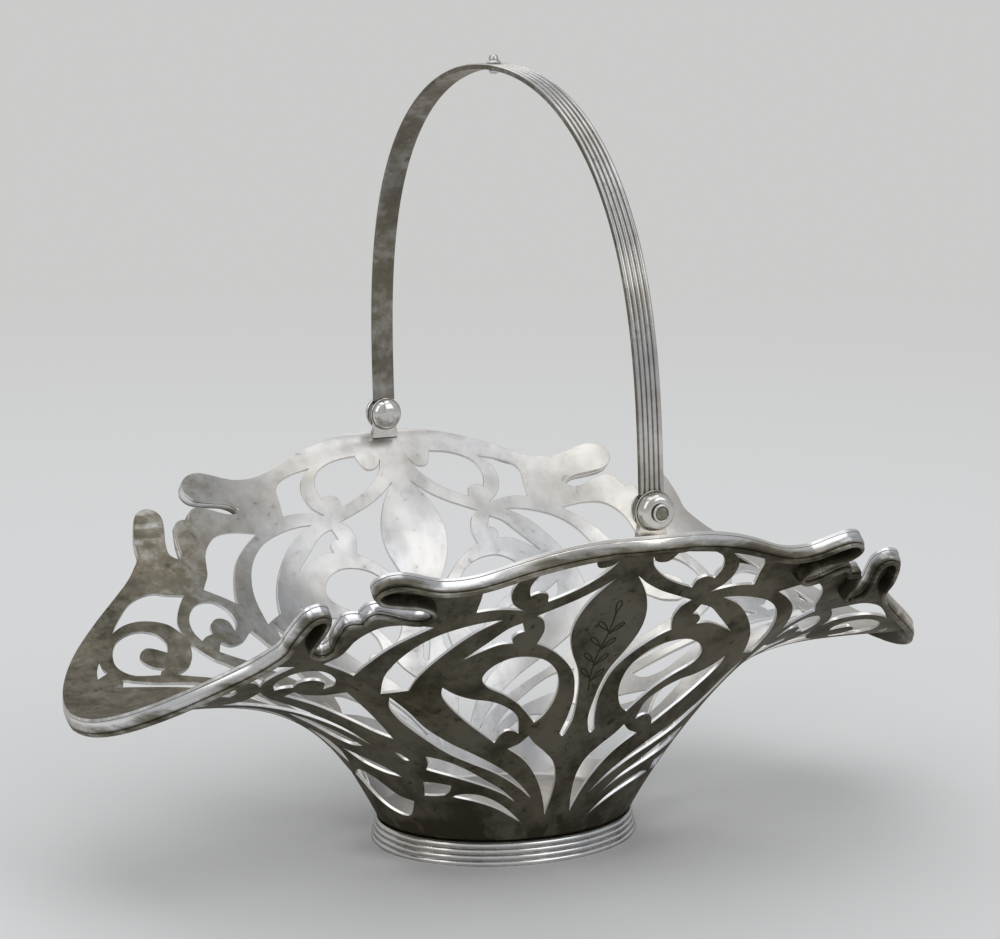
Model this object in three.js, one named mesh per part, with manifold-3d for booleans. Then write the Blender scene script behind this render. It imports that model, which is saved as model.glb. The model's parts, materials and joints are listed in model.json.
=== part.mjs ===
// A silver swing-handled basket with a pierced, flared oval body.
// Millimetres, +Z up. X runs along the long axis, Y along the hinge axis.
// The origin is on the table, under the middle of the foot.
import * as THREE from 'three';
import { mergeVertices } from 'three/addons/utils/BufferGeometryUtils.js';
import Module from 'manifold-3d';

const wasm = await Module();
wasm.setup();

// Clearances
const SEAT_GAP = 0.3;
const PIVOT_CLEARANCE = 0.3;
const BOSS_RIM_CLEARANCE = 0.4;

// Foot ring
const FOOT_LENGTH = 80.6;
const FOOT_WIDTH = 68.2;
const FOOT_HEIGHT = 6.6;
const FOOT_SPREAD = 2.1;
const FOOT_BASE_WIDTH = 3.4;
const FOOT_TOP_WIDTH = 2.4;
const FOOT_REEDS = 4;
const FOOT_REED_DEPTH = 0.5;
const FOOT_SIDES = 36;

// Body sheet
const SHEET = 1.1;
const BOWL_LENGTH = 263;
const BOWL_WIDTH = 188;
const SIDE_RIM_HEIGHT = 105.4;
const END_RIM_HEIGHT = 49.8;
const RIM_FULLNESS = 2.35;
const RIM_DROP_POWER = 2.41;
const SIDE_FLARE = 1.5;
const CORNER_FLARE = 2.0;
const END_FLARE = 4.5;
const WALL_STEP_EVENNESS = 0.55;
const CORNER_TURN_START = 0.7;
const CORNER_TURN_UP = 72;
const CORNER_TURN_IN = 51;
const CORNER_TURN_DEGREES = 36;
const CORNER_TURN_SPREAD = 14;
const FLOOR_ROUNDING = 1.4;
const BODY_QUARTER_ANGLES = [0, 12, 22, 29, 36, 43, 51, 63, 77, 90];
const BODY_ROWS = [0, 0.16, 0.34, 0.54, 0.74, 0.89, 0.99, 1.09];
const CUT_DEPTH = 7;
const CUT_TOP = 1.18;
const CUT_OVERLAP = 1;
const HOLE_OVERRUN = 1;
const OUTLINE_TOLERANCE = 0.7;
const SAMPLES_PER_SPAN = 6;

// Rim border moulding
const BORDER_DEPTH = 3.3;
const BORDER_WIDTH = 2.2;
const BORDER_BEAD = 0.9;

// Hinges
const BOSS_DIAMETER = 10.8;
const BOSS_DEPTH = 3.9;
const BOSS_SET_IN = 3.1;
const EAR_WIDTH = 7.6;
const EAR_THICKNESS = 2;
const EAR_FOOT_WIDTH = 8.4;
const EAR_FOOT_HEIGHT = 1;
const CAP_DIAMETER = 10.2;
const CAP_DEPTH = 3.2;
const DOME_EDGE = 0.6;
const DOME_FLAT_DIAMETER = 5.2;
const DOME_STEPS = 5;
const PIN_DIAMETER = 2.2;
const PIN_HEAD_DIAMETER = 5;
const PIN_HEAD_DEPTH = 0.8;
const PIN_REACH_IN_CAP = 1.8;
const ROUND_SIDES = 20;
// The stretch of the wall, round and up, that the ear's foot is fitted to.
const HINGE_RIM_DEGREES = [-6, -3, 0, 3, 6];
const HINGE_RIM_HEIGHTS = [0.8, 0.85, 0.9, 0.95, 1, 1.05];

// Handle
const HANDLE_RISE = 112.6;
const HANDLE_SIDE_POWER = 2.1;
const HANDLE_TOP_POWER = 2.95;
const HANDLE_LEAN = 1.7;
const BAND_WIDTH = 7;
const BAND_THICKNESS = 1.6;
const BAND_REEDS = 5;
const BAND_REED_DEPTH = 0.45;
const BAND_STEPS = 36;
const ARCH_KNOTS = 48;
const BAND_END_CLEARANCE = 0.5;
const STUD_HEAD_DIAMETER = 4;
const STUD_HEAD_HEIGHT = 2.2;
const STUD_SHANK_DIAMETER = 1.8;
const STUD_BEAD_DIAMETER = 3;
const STUD_BEAD_HEIGHT = 1.1;
// Each as [share of the radius, share of the height], upward.
const STUD_HEAD_PROFILE = [[1, 0], [1, 0.3], [0.7, 0.8], [0, 1]];
const STUD_BEAD_PROFILE = [[0, 0], [0.6, 0.15], [1, 0.5], [0.8, 1]];

// Piercing of one quarter of the wall, from the middle of a long side (0 degrees)
// to the middle of an end (90 degrees). A point is [degrees round, share of the way up].
// An opening is a ring of smooth runs, and a sharp corner stands where two runs meet.
// A run ends on the first point of the next run.
const SIDE_OPENINGS = {
  leaf_gap: [
    [[1.7, 0.803], [4, 0.775], [7, 0.752], [10.3, 0.738]],
    [[13.6, 0.728], [12.4, 0.708], [12.1, 0.675]],
    [[13.2, 0.642], [11, 0.62], [8.4, 0.588], [6.1, 0.555], [4.5, 0.525], [3.6, 0.49],
      [3.2, 0.448], [3.8, 0.398]],
    [[5, 0.356], [4.2, 0.345]],
    [[3.4, 0.351], [2.1, 0.393], [2.2, 0.447], [2.7, 0.495], [3.7, 0.535], [5.7, 0.585],
      [6.8, 0.635], [6.5, 0.685], [4.7, 0.742]],
  ],
  lobe_window: [
    [[6.2, 0.897], [9, 0.895], [11.5, 0.885], [13.6, 0.865], [14.9, 0.831]],
    [[14.9, 0.797], [13.5, 0.801], [12.2, 0.788]],
    [[12.1, 0.764], [9.5, 0.773], [6.8, 0.79], [4.6, 0.815], [3.2, 0.842]],
    [[2.4, 0.874], [3.1, 0.855], [4.2, 0.847], [5.5, 0.854]],
  ],
  teardrop: [
    [[14.2, 0.887], [17, 0.885], [19.6, 0.876], [21.2, 0.857], [21.9, 0.826]],
    [[22.8, 0.79], [20.6, 0.785], [18.5, 0.775]],
    [[15.9, 0.756], [17.4, 0.785], [17.6, 0.824], [16.5, 0.859]],
  ],
  curl_window: [
    [[15.9, 0.718], [18.3, 0.712], [21.5, 0.688]],
    [[26.3, 0.652], [22.5, 0.666], [19.8, 0.671]],
    [[17.5, 0.664], [17.6, 0.679], [16.7, 0.689]],
    [[15.5, 0.69]],
  ],
  arch_crescent: [
    [[19, 0.745], [22, 0.753], [25.5, 0.754], [29.1, 0.746], [33, 0.721], [37, 0.678],
      [40.8, 0.622]],
    [[44, 0.552], [40.5, 0.562]],
    [[37.6, 0.57], [35, 0.611], [31.5, 0.655], [27, 0.7], [23, 0.73]],
  ],
  eye: [
    [[12.4, 0.407], [10.2, 0.421], [8.2, 0.455], [7.5, 0.498], [8.4, 0.542], [11.2, 0.585],
      [14.8, 0.611], [18.2, 0.62], [21.4, 0.609], [23.3, 0.583], [22.6, 0.552],
      [19.5, 0.517], [16.3, 0.475]],
  ],
  tendril_window: [
    [[31, 0.575], [29, 0.548], [26, 0.525], [22.3, 0.506], [19, 0.476], [16.4, 0.435]],
    [[16.2, 0.385], [17.6, 0.398], [19.4, 0.402], [21, 0.392]],
    [[22.3, 0.372], [25, 0.409], [28, 0.453], [30.6, 0.505], [31.6, 0.545]],
  ],
  long_crescent: [
    [[42.5, 0.54], [44.2, 0.497], [43.6, 0.449], [40.3, 0.401], [35, 0.35], [29, 0.311],
      [23, 0.27], [16.5, 0.21]],
    [[10.7, 0.147], [15.5, 0.215], [21.5, 0.285], [28, 0.344], [33.5, 0.387], [38, 0.435],
      [40.2, 0.489]],
  ],
  second_crescent: [
    [[41.5, 0.323], [37, 0.32], [32, 0.298], [26.5, 0.253], [21, 0.202]],
    [[16, 0.14], [21, 0.188], [27.5, 0.229], [35, 0.258]],
    [[43.5, 0.269], [42, 0.291]],
  ],
  third_crescent: [
    [[38, 0.178], [35, 0.192], [31, 0.196], [26.5, 0.183], [21, 0.14]],
    [[14, 0.06], [19, 0.1], [25, 0.142], [31.5, 0.169]],
  ],
  vase_window: [
    [[13.5, 0.369], [11.8, 0.341], [8.4, 0.304], [5.2, 0.265], [3.6, 0.213], [3.8, 0.152]],
    [[5.2, 0.088], [7.2, 0.155], [10.3, 0.227], [14.2, 0.291]],
    [[19, 0.344], [15.8, 0.352]],
  ],
};

const CORNER_OPENINGS = {
  bridge_window: [
    [[29.1, 0.776], [32.5, 0.8], [35.7, 0.812], [38.3, 0.804], [40.7, 0.785], [42.7, 0.759],
      [44.8, 0.736]],
    [[48.6, 0.715], [47.8, 0.682]],
    [[46.3, 0.634], [42, 0.68], [37.2, 0.728], [33.2, 0.756]],
  ],
  four_sided_hole: [
    [[37, 0.224], [42, 0.224]],
    [[46.8, 0.214], [47.4, 0.189]],
    [[49, 0.158], [44.5, 0.168]],
    [[40.5, 0.18], [38.2, 0.2]],
  ],
  trunk_slot: [
    [[51.8, 0.307], [49.8, 0.305]],
    [[47.6, 0.289], [49.8, 0.285]],
  ],
};

const END_OPENINGS = {
  end_teardrop: [
    [[64.5, 0.875], [60.6, 0.868], [56.9, 0.855], [54.5, 0.822], [53.7, 0.78]],
    [[52.5, 0.745], [56, 0.739], [60, 0.727]],
    [[63, 0.706], [61.1, 0.75], [61.1, 0.81], [62.4, 0.852]],
  ],
  upper_curl_window: [
    [[68.9, 0.736], [66.2, 0.741], [64, 0.775], [63.9, 0.824], [66.2, 0.859], [69.8, 0.866],
      [73.6, 0.854], [76.2, 0.816]],
    [[76.2, 0.754], [75.2, 0.753]],
    [[74, 0.742], [73.2, 0.778], [70.6, 0.803], [68, 0.787]],
  ],
  lower_curl_window: [
    [[55.6, 0.584], [52.3, 0.597], [50.3, 0.633], [50.6, 0.678], [53.6, 0.705], [58, 0.703],
      [61.6, 0.68]],
    [[63.6, 0.652], [61.8, 0.645]],
    [[60.3, 0.631], [57.8, 0.646], [54.8, 0.641], [53.6, 0.614]],
  ],
  upper_end_crescent: [
    [[65.4, 0.68], [69.2, 0.672], [73, 0.682]],
    [[76, 0.715], [76.2, 0.65], [75.2, 0.545], [71.5, 0.447], [66, 0.369]],
    [[59.5, 0.311], [64.6, 0.38], [68.2, 0.444], [69.5, 0.53]],
    [[68.8, 0.61], [67.2, 0.647]],
  ],
  lower_end_crescent: [
    [[65.5, 0.6]],
    [[62, 0.605], [61.4, 0.573], [57.5, 0.551]],
    [[51.5, 0.556], [51, 0.48]],
    [[49.2, 0.363], [55.5, 0.385], [61.5, 0.448], [64.9, 0.54]],
  ],
  lip_notch: [
    [[76.8, 0.902], [74, 0.901]],
    [[71.4, 0.896], [73.5, 0.889]],
    [[75, 0.878]],
  ],
  end_leaf_gap: [
    [[77.3, 0.85], [78.9, 0.848]],
    [[79.9, 0.872], [80.6, 0.79], [81.3, 0.68], [83, 0.57], [84.8, 0.48]],
    [[86.6, 0.382], [82, 0.453], [79.3, 0.545], [78.8, 0.65], [78.9, 0.77]],
  ],
  end_inner_crescent: [
    [[64, 0.303], [69.5, 0.362], [73.6, 0.432]],
    [[76, 0.5], [77.3, 0.438], [75.4, 0.35], [70, 0.305]],
  ],
  end_slot: [
    [[55, 0.207], [61, 0.23], [69, 0.254]],
    [[77, 0.287], [71.5, 0.231], [63, 0.207]],
  ],
  end_base_window: [
    [[55.5, 0.122], [63, 0.13], [71, 0.173], [79, 0.192]],
    [[87.5, 0.16], [81, 0.097], [72, 0.063], [62, 0.06]],
  ],
  end_stem_window: [
    [[84.5, 0.388], [86.6, 0.322], [85.7, 0.254]],
    [[83, 0.209], [79.9, 0.274], [81, 0.352]],
  ],
};

// Edge of the same quarter, in the same measure, in two smooth runs that meet in the sharp
// dip between the two small corner lobes.
const EDGE_TO_DIP = [
  [0, 1.012], [5, 0.998], [10, 0.97], [15, 0.942], [19.9, 0.916], [23.1, 0.91], [25.9, 0.919],
  [27.6, 0.935], [29.2, 0.96], [30.7, 0.982], [32.2, 0.989], [33.7, 0.981], [34.7, 0.96],
  [34.7, 0.932], [33.8, 0.91], [32, 0.89], [30.2, 0.874], [29.2, 0.857], [29.1, 0.845],
  [30.3, 0.841], [31.9, 0.854], [33.4, 0.877], [34.9, 0.899], [36.2, 0.902], [37.2, 0.893],
  [37.7, 0.885],
];
const EDGE_FROM_DIP = [
  [37.7, 0.885], [38.7, 0.896], [39.7, 0.897], [40.4, 0.886], [41.4, 0.869], [42.8, 0.841],
  [43.6, 0.825], [44.9, 0.819], [45.2, 0.834], [44.9, 0.852], [43.2, 0.881], [41.6, 0.906],
  [40.4, 0.932], [40.1, 0.958], [40.5, 0.982], [41.6, 0.994], [42.8, 0.985], [44.2, 0.965],
  [45.9, 0.939], [47.8, 0.908], [50, 0.896], [53, 0.891], [57, 0.9], [62, 0.92], [70, 0.954],
  [78, 0.978], [84, 0.989], [90, 0.995],
];
// Which of these points are the finger tips and the bottoms of the notches.
const SIDE_TIP = 10;
const SIDE_NOTCH = 18;
const END_NOTCH = 6;
const END_TIP = 15;

const silver = (color, roughness) => (
  new THREE.MeshStandardMaterial({ color, roughness, metalness: 1 })
);
const BRIGHT_SILVER = silver(0xc9c6bf, 0.3);
const TONED_SILVER = silver(0x9a958a, 0.38);

const basket = new THREE.Group();

function addPiece(parent, name, geometry, material) {
  const mesh = new THREE.Mesh(geometry, material);
  mesh.name = name;
  parent.add(mesh);
}

// Solids

function toSolid(geometry) {
  const bare = geometry.clone();
  bare.deleteAttribute('normal');
  bare.deleteAttribute('uv');
  const merged = mergeVertices(bare, 1e-4);
  const mesh = new wasm.Mesh({
    numProp: 3,
    vertProperties: new Float32Array(merged.attributes.position.array),
    triVerts: new Uint32Array(merged.index.array),
  });
  return new wasm.Manifold(mesh);
}

function toGeometry(solid) {
  const mesh = solid.getMesh();
  const geometry = new THREE.BufferGeometry();
  geometry.setAttribute('position', new THREE.BufferAttribute(mesh.vertProperties, 3));
  geometry.setIndex(new THREE.BufferAttribute(mesh.triVerts, 1));
  geometry.computeVertexNormals();
  return geometry;
}

// A closed body through rings of the same number of points. Each ring is a closed section.
// A loop of rings joins its last ring to its first; otherwise both ends are capped.
function loft(rings, section, isLoop = false) {
  const count = section.length;
  const positions = rings.flat().flatMap((point) => [point.x, point.y, point.z]);
  const indices = [];
  const spans = isLoop ? rings.length : rings.length - 1;
  for (let ring = 0; ring < spans; ring += 1) {
    const here = ring * count;
    const next = ((ring + 1) % rings.length) * count;
    for (let side = 0; side < count; side += 1) {
      const other = (side + 1) % count;
      indices.push(here + side, here + other, next + side);
      indices.push(here + other, next + other, next + side);
    }
  }
  if (!isLoop) {
    const last = (rings.length - 1) * count;
    const clockwise = THREE.ShapeUtils.isClockWise(section);
    for (const [a, b, c] of THREE.ShapeUtils.triangulateShape(section, [])) {
      const sameWay = THREE.ShapeUtils.isClockWise([section[a], section[b], section[c]]);
      const [second, third] = sameWay === clockwise ? [b, c] : [c, b];
      indices.push(a, third, second);
      indices.push(last + a, last + second, last + third);
    }
  }
  const geometry = new THREE.BufferGeometry();
  geometry.setAttribute('position', new THREE.Float32BufferAttribute(positions, 3));
  geometry.setIndex(indices);
  return facingOut(geometry);
}

// Turns a closed body's triangles to face out, if they face in.
function facingOut(geometry) {
  const index = geometry.index.array;
  const corner = (at) => new THREE.Vector3().fromBufferAttribute(geometry.attributes.position, at);
  let volume = 0;
  for (let i = 0; i < index.length; i += 3) {
    volume += corner(index[i]).dot(corner(index[i + 1]).cross(corner(index[i + 2])));
  }
  if (volume < 0) {
    for (let i = 0; i < index.length; i += 3) {
      [index[i + 1], index[i + 2]] = [index[i + 2], index[i + 1]];
    }
  }
  geometry.computeVertexNormals();
  return geometry;
}

// A turned piece whose axis runs along Y. The profile holds [radius, y] pairs.
function turnedAlongY(profile) {
  const points = profile.map(([radius, along]) => new THREE.Vector2(radius, along));
  return facingOut(new THREE.LatheGeometry(points, ROUND_SIDES));
}

function turnedAlongZ(profile) {
  return turnedAlongY(profile).rotateX(Math.PI / 2);
}

function rodAlongY(diameter, from, to) {
  return turnedAlongY([[0, from], [diameter / 2, from], [diameter / 2, to], [0, to]]);
}

// Wall surface

const WALL_FOOT_Z = FOOT_HEIGHT + SEAT_GAP + SHEET;
const WALL_FOOT_X = FOOT_LENGTH / 2 - FOOT_SPREAD;
const WALL_FOOT_Y = FOOT_WIDTH / 2 - FOOT_SPREAD;

function rimEnvelope(degrees) {
  const angle = THREE.MathUtils.degToRad(degrees);
  const across = Math.abs(Math.sin(angle));
  const along = Math.abs(Math.cos(angle));
  const reach = (across ** RIM_FULLNESS + along ** RIM_FULLNESS) ** (-1 / RIM_FULLNESS);
  return new THREE.Vector3(
    BOWL_LENGTH / 2 * Math.sin(angle) * reach,
    BOWL_WIDTH / 2 * Math.cos(angle) * reach,
    SIDE_RIM_HEIGHT - (SIDE_RIM_HEIGHT - END_RIM_HEIGHT) * across ** RIM_DROP_POWER,
  );
}

// How strongly the wall turns outward: a smooth blend from the side to the end.
function flare(degrees) {
  const share = Math.sin(THREE.MathUtils.degToRad(degrees)) ** 2;
  return SIDE_FLARE * (1 - share) * (1 - 2 * share)
    + CORNER_FLARE * 4 * share * (1 - share)
    + END_FLARE * share * (2 * share - 1);
}

// How far the corners turn up and in near the rim: nothing at the sides and the ends.
function cornerTurn(degrees, height) {
  const angle = THREE.MathUtils.degToRad(degrees);
  const folded = Math.atan2(Math.abs(Math.sin(angle)), Math.abs(Math.cos(angle)));
  const off = (THREE.MathUtils.radToDeg(folded) - CORNER_TURN_DEGREES) / CORNER_TURN_SPREAD;
  return Math.exp(-off * off) * Math.max(0, height - CORNER_TURN_START) ** 2;
}

function wallMiddle(degrees, height) {
  const angle = THREE.MathUtils.degToRad(degrees);
  const rim = rimEnvelope(degrees);
  const out = height * (WALL_STEP_EVENNESS + (1 - WALL_STEP_EVENNESS) * height);
  const rest = 1 - out;
  const up = 1 - Math.sign(rest) * Math.abs(rest) ** flare(degrees);
  const x = THREE.MathUtils.lerp(WALL_FOOT_X * Math.sin(angle), rim.x, out);
  const y = THREE.MathUtils.lerp(WALL_FOOT_Y * Math.cos(angle), rim.y, out);
  const z = THREE.MathUtils.lerp(WALL_FOOT_Z, rim.z, up);
  const turn = cornerTurn(degrees, height);
  const inward = 1 - CORNER_TURN_IN * turn / Math.hypot(x, y);
  return new THREE.Vector3(x * inward, y * inward, z + CORNER_TURN_UP * turn);
}

function wallNormal(degrees, height) {
  const step = 0.001;
  const round = wallMiddle(degrees + step, height).sub(wallMiddle(degrees - step, height));
  const rise = wallMiddle(degrees, height + step).sub(wallMiddle(degrees, height - step));
  return rise.cross(round).normalize();
}

// A point of the wall, moved out from the middle of the sheet by the offset.
function wallPoint(degrees, height, offset = 0) {
  return wallMiddle(degrees, height).addScaledVector(wallNormal(degrees, height), offset);
}

// Outlines on the wall

function smoothRun(points, samples) {
  if (points.length === 2) return points.map(([a, h]) => new THREE.Vector2(a, h));
  const knots = points.map(([a, h]) => new THREE.Vector2(a, h));
  return new THREE.SplineCurve(knots).getPoints(samples * (points.length - 1));
}

// Leaves out the points that lie within the tolerance of a straight line, in real size.
function thinned(points) {
  if (points.length < 3) return points;
  const places = points.map((point) => wallMiddle(point.x, point.y));
  const line = new THREE.Line3(places[0], places[places.length - 1]);
  const nearest = new THREE.Vector3();
  let farthest = 0;
  let distance = 0;
  for (let i = 1; i < places.length - 1; i += 1) {
    line.closestPointToPoint(places[i], true, nearest);
    const off = nearest.distanceTo(places[i]);
    if (off > distance) {
      distance = off;
      farthest = i;
    }
  }
  if (distance < OUTLINE_TOLERANCE) return [points[0], points[points.length - 1]];
  const before = thinned(points.slice(0, farthest + 1));
  return before.slice(0, -1).concat(thinned(points.slice(farthest)));
}

function openingOutline(runs) {
  return runs.flatMap((run, i) => {
    const next = runs[(i + 1) % runs.length][0];
    return thinned(smoothRun([...run, next], SAMPLES_PER_SPAN)).slice(0, -1);
  });
}

// The four quarters of the wall repeat by mirroring.
const QUARTERS = [
  (degrees) => degrees,
  (degrees) => -degrees,
  (degrees) => 180 - degrees,
  (degrees) => 180 + degrees,
];

// A straight plug through the wall with the given outline, for cutting.
function wallPlug(outline, turn) {
  const middle = new THREE.Box2().setFromPoints(outline).getCenter(new THREE.Vector2());
  const through = wallNormal(turn(middle.x), middle.y).multiplyScalar(CUT_DEPTH);
  const places = outline.map((point) => wallMiddle(turn(point.x), point.y));
  const rings = [-1, 1].map((way) => (
    places.map((place) => place.clone().addScaledVector(through, way))
  ));
  return toSolid(loft(rings, outline));
}

// The outline of what is cut away above a short stretch of the edge.
function aboveEdge(edge) {
  return [
    ...edge,
    new THREE.Vector2(edge.at(-1).x + CUT_OVERLAP, CUT_TOP),
    new THREE.Vector2(edge[0].x - CUT_OVERLAP, CUT_TOP),
  ];
}

// A cutter for what lies above a long stretch of the edge whose angle only grows.
function edgeCutter(edge, turn) {
  const section = [[-1, 0], [1, 0], [1, 1], [-1, 1]].map(([x, y]) => new THREE.Vector2(x, y));
  const rings = edge.map((point) => section.map(({ x, y }) => (
    wallPoint(turn(point.x), y ? CUT_TOP : point.y, x * CUT_DEPTH)
  )));
  return toSolid(loft(rings, section));
}

const edgeToDip = smoothRun(EDGE_TO_DIP, SAMPLES_PER_SPAN);
const edgeFromDip = smoothRun(EDGE_FROM_DIP, SAMPLES_PER_SPAN);

// The stretches of the edge between two of its given points.
const toDip = (from, to = EDGE_TO_DIP.length) => (
  thinned(edgeToDip.slice(from * SAMPLES_PER_SPAN, to * SAMPLES_PER_SPAN + 1))
);
const fromDip = (from, to = EDGE_FROM_DIP.length) => (
  thinned(edgeFromDip.slice(from * SAMPLES_PER_SPAN, to * SAMPLES_PER_SPAN + 1))
);

// A path and its mirror image about the angle at its first or last point, as one path.
function mirrored(path, middle) {
  const image = path.map((point) => new THREE.Vector2(2 * middle - point.x, point.y)).reverse();
  return image.at(-1).x === path[0].x
    ? [...image.slice(0, -1), ...path]
    : [...path.slice(0, -1), ...image];
}

function movedRound(path, degrees) {
  return path.map((point) => new THREE.Vector2(point.x + degrees, point.y));
}

// Body

// The bowl before it is pierced, as a sheet of the given thickness.
function bowlSheet(thickness) {
  const around = QUARTERS.flatMap((turn) => BODY_QUARTER_ANGLES.map(turn));
  const angles = [...new Set(around.map((degrees) => (degrees + 360) % 360))];
  angles.sort((first, second) => first - second);
  const floorRing = (inset, z) => angles.map((degrees) => {
    const edge = wallMiddle(degrees, 0);
    const share = 1 - inset / WALL_FOOT_Y;
    return new THREE.Vector3(edge.x * share, edge.y * share, z);
  });
  const wallRing = (height, offset) => angles.map((degrees) => wallPoint(degrees, height, offset));
  const rings = [
    floorRing(FLOOR_ROUNDING, WALL_FOOT_Z - (SHEET + thickness) / 2),
    ...BODY_ROWS.map((height) => wallRing(height, thickness / 2)),
    ...BODY_ROWS.map((height) => wallRing(height, -thickness / 2)).reverse(),
    floorRing(FLOOR_ROUNDING + thickness, WALL_FOOT_Z - (SHEET - thickness) / 2),
  ];
  return toSolid(loft(rings, rings[0].map((point) => new THREE.Vector2(point.x, point.y))));
}

function piercedBowl() {
  const openings = { ...SIDE_OPENINGS, ...CORNER_OPENINGS, ...END_OPENINGS };
  const outlines = Object.values(openings).map(openingOutline);
  outlines.push(aboveEdge([...toDip(SIDE_TIP).slice(0, -1), ...fromDip(0, END_TIP)]));
  const cutters = QUARTERS.flatMap((turn) => outlines.map((outline) => wallPlug(outline, turn)));
  for (const turn of [QUARTERS[0], QUARTERS[3]]) {
    cutters.push(edgeCutter(mirrored(toDip(0, SIDE_TIP), 0), turn));
    cutters.push(edgeCutter(mirrored(fromDip(END_TIP), 90), turn));
  }
  return toGeometry(cutters.reduce((solid, cutter) => solid.subtract(cutter), bowlSheet(SHEET)));
}

// Rim border: a moulding soldered under the edge of the sheet.

// x runs out from the sheet's outside face, y from the edge towards the foot.
const BORDER_SECTION = [
  [0, 0],
  [BORDER_DEPTH, 0],
  [BORDER_DEPTH + BORDER_BEAD, BORDER_BEAD],
  [BORDER_DEPTH, 2 * BORDER_BEAD],
  [BORDER_DEPTH / 2, BORDER_WIDTH],
  [0, BORDER_WIDTH],
].map(([x, y]) => new THREE.Vector2(x, y));

const bowlWithGap = bowlSheet(SHEET + 2 * SEAT_GAP);

// The path holds [degrees, share up] points with growing angle as a whole.
function borderLength(path) {
  const places = path.map((point) => wallPoint(point.x, point.y, SHEET / 2));
  const rings = path.map((point, i) => {
    const before = places[Math.max(i - 1, 0)];
    const after = places[Math.min(i + 1, places.length - 1)];
    const normal = wallNormal(point.x, point.y);
    const along = after.clone().sub(before).normalize();
    const inward = normal.clone().cross(along).normalize();
    return BORDER_SECTION.map(({ x, y }) => (
      places[i].clone().addScaledVector(normal, x).addScaledVector(inward, y)
    ));
  });
  return toGeometry(toSolid(loft(rings, BORDER_SECTION)).subtract(bowlWithGap));
}

function addRimBorders() {
  const side = mirrored(toDip(0, SIDE_NOTCH), 0);
  const end = mirrored(fromDip(END_NOTCH), 90);
  const beforeDip = toDip(SIDE_NOTCH);
  const afterDip = fromDip(0, END_NOTCH);
  const corner = [...beforeDip.slice(1, -1), ...afterDip.slice(0, -1)];
  const cornerImage = corner.map((point) => new THREE.Vector2(180 - point.x, point.y)).reverse();
  const lengths = {
    rim_border_back: side,
    rim_border_front: movedRound(side, 180),
    rim_border_right: end,
    rim_border_left: movedRound(end, 180),
    corner_border_back_right: corner,
    corner_border_front_right: cornerImage,
    corner_border_front_left: movedRound(corner, 180),
    corner_border_back_left: movedRound(cornerImage, 180),
  };
  for (const [name, path] of Object.entries(lengths)) {
    addPiece(basket, name, borderLength(path), BRIGHT_SILVER);
  }
}

// Foot ring: a reeded oval ring that spreads outward to its flat base.

function footSection() {
  const topOut = SHEET / 2;
  const points = [[FOOT_SPREAD - FOOT_BASE_WIDTH, 0], [FOOT_SPREAD, 0]];
  for (let reed = 0; reed < FOOT_REEDS; reed += 1) {
    const groove = (reed + 1) / FOOT_REEDS;
    const crown = (reed + 0.5) / FOOT_REEDS;
    const outAt = (share) => THREE.MathUtils.lerp(FOOT_SPREAD, topOut, share);
    points.push([outAt(crown), FOOT_HEIGHT * crown]);
    points.push([outAt(groove) - FOOT_REED_DEPTH * (reed < FOOT_REEDS - 1), FOOT_HEIGHT * groove]);
  }
  points.push([topOut - FOOT_TOP_WIDTH, FOOT_HEIGHT]);
  return points.map(([out, up]) => new THREE.Vector2(out, up));
}

function footRing() {
  const section = footSection();
  const rings = [];
  for (let side = 0; side < FOOT_SIDES; side += 1) {
    const angle = side * 2 * Math.PI / FOOT_SIDES;
    rings.push(section.map(({ x, y }) => new THREE.Vector3(
      (WALL_FOOT_X + x) * Math.sin(angle),
      (WALL_FOOT_Y + x) * Math.cos(angle),
      y,
    )));
  }
  return loft(rings, section, true);
}

// Hinges: an ear stands on the rim between a domed boss outside, which turns with the
// handle, and a domed cap inside. A pin runs through all three.

const rimTop = wallPoint(0, EDGE_TO_DIP[0][1], -SHEET / 2);
const HINGE_Z = rimTop.z + BOSS_RIM_CLEARANCE + BOSS_DIAMETER / 2;
const BOSS_BACK_Y = rimTop.y - BOSS_SET_IN;
const EAR_OUTER_Y = BOSS_BACK_Y - SEAT_GAP;
const EAR_INNER_Y = EAR_OUTER_Y - EAR_THICKNESS;
const CAP_BACK_Y = EAR_INNER_Y - SEAT_GAP;
const PIN_HEAD_Y = BOSS_BACK_Y + BOSS_DEPTH + SEAT_GAP;

// A domed button from its flat back, at y = 0, to its small flat top.
function domedButton(diameter, depth) {
  const profile = [[0, 0], [diameter / 2, 0], [diameter / 2, DOME_EDGE]];
  const flat = DOME_FLAT_DIAMETER / 2;
  for (let step = 1; step <= DOME_STEPS; step += 1) {
    const angle = step / DOME_STEPS * Math.PI / 2;
    profile.push([
      flat + (diameter / 2 - flat) * Math.cos(angle),
      DOME_EDGE + (depth - DOME_EDGE) * Math.sin(angle),
    ]);
  }
  profile.push([0, depth]);
  return turnedAlongY(profile);
}

function withoutPinHole(geometry, from, to) {
  const hole = rodAlongY(PIN_DIAMETER + 2 * PIVOT_CLEARANCE, from, to);
  return toGeometry(toSolid(geometry).subtract(toSolid(hole)));
}

// What lies under the inside face of the rim near the hinge, kept clear by the seat gap.
function rimBlock() {
  const inner = HINGE_RIM_HEIGHTS.map((height) => [height, -SHEET / 2 - SEAT_GAP]);
  const outer = HINGE_RIM_HEIGHTS.map((height) => [height, CUT_DEPTH]).reverse();
  const section = [...inner, ...outer].map(([x, y]) => new THREE.Vector2(x, y));
  const rings = HINGE_RIM_DEGREES.map((degrees) => (
    section.map(({ x, y }) => wallPoint(degrees, x, y))
  ));
  return loft(rings, section);
}

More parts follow.
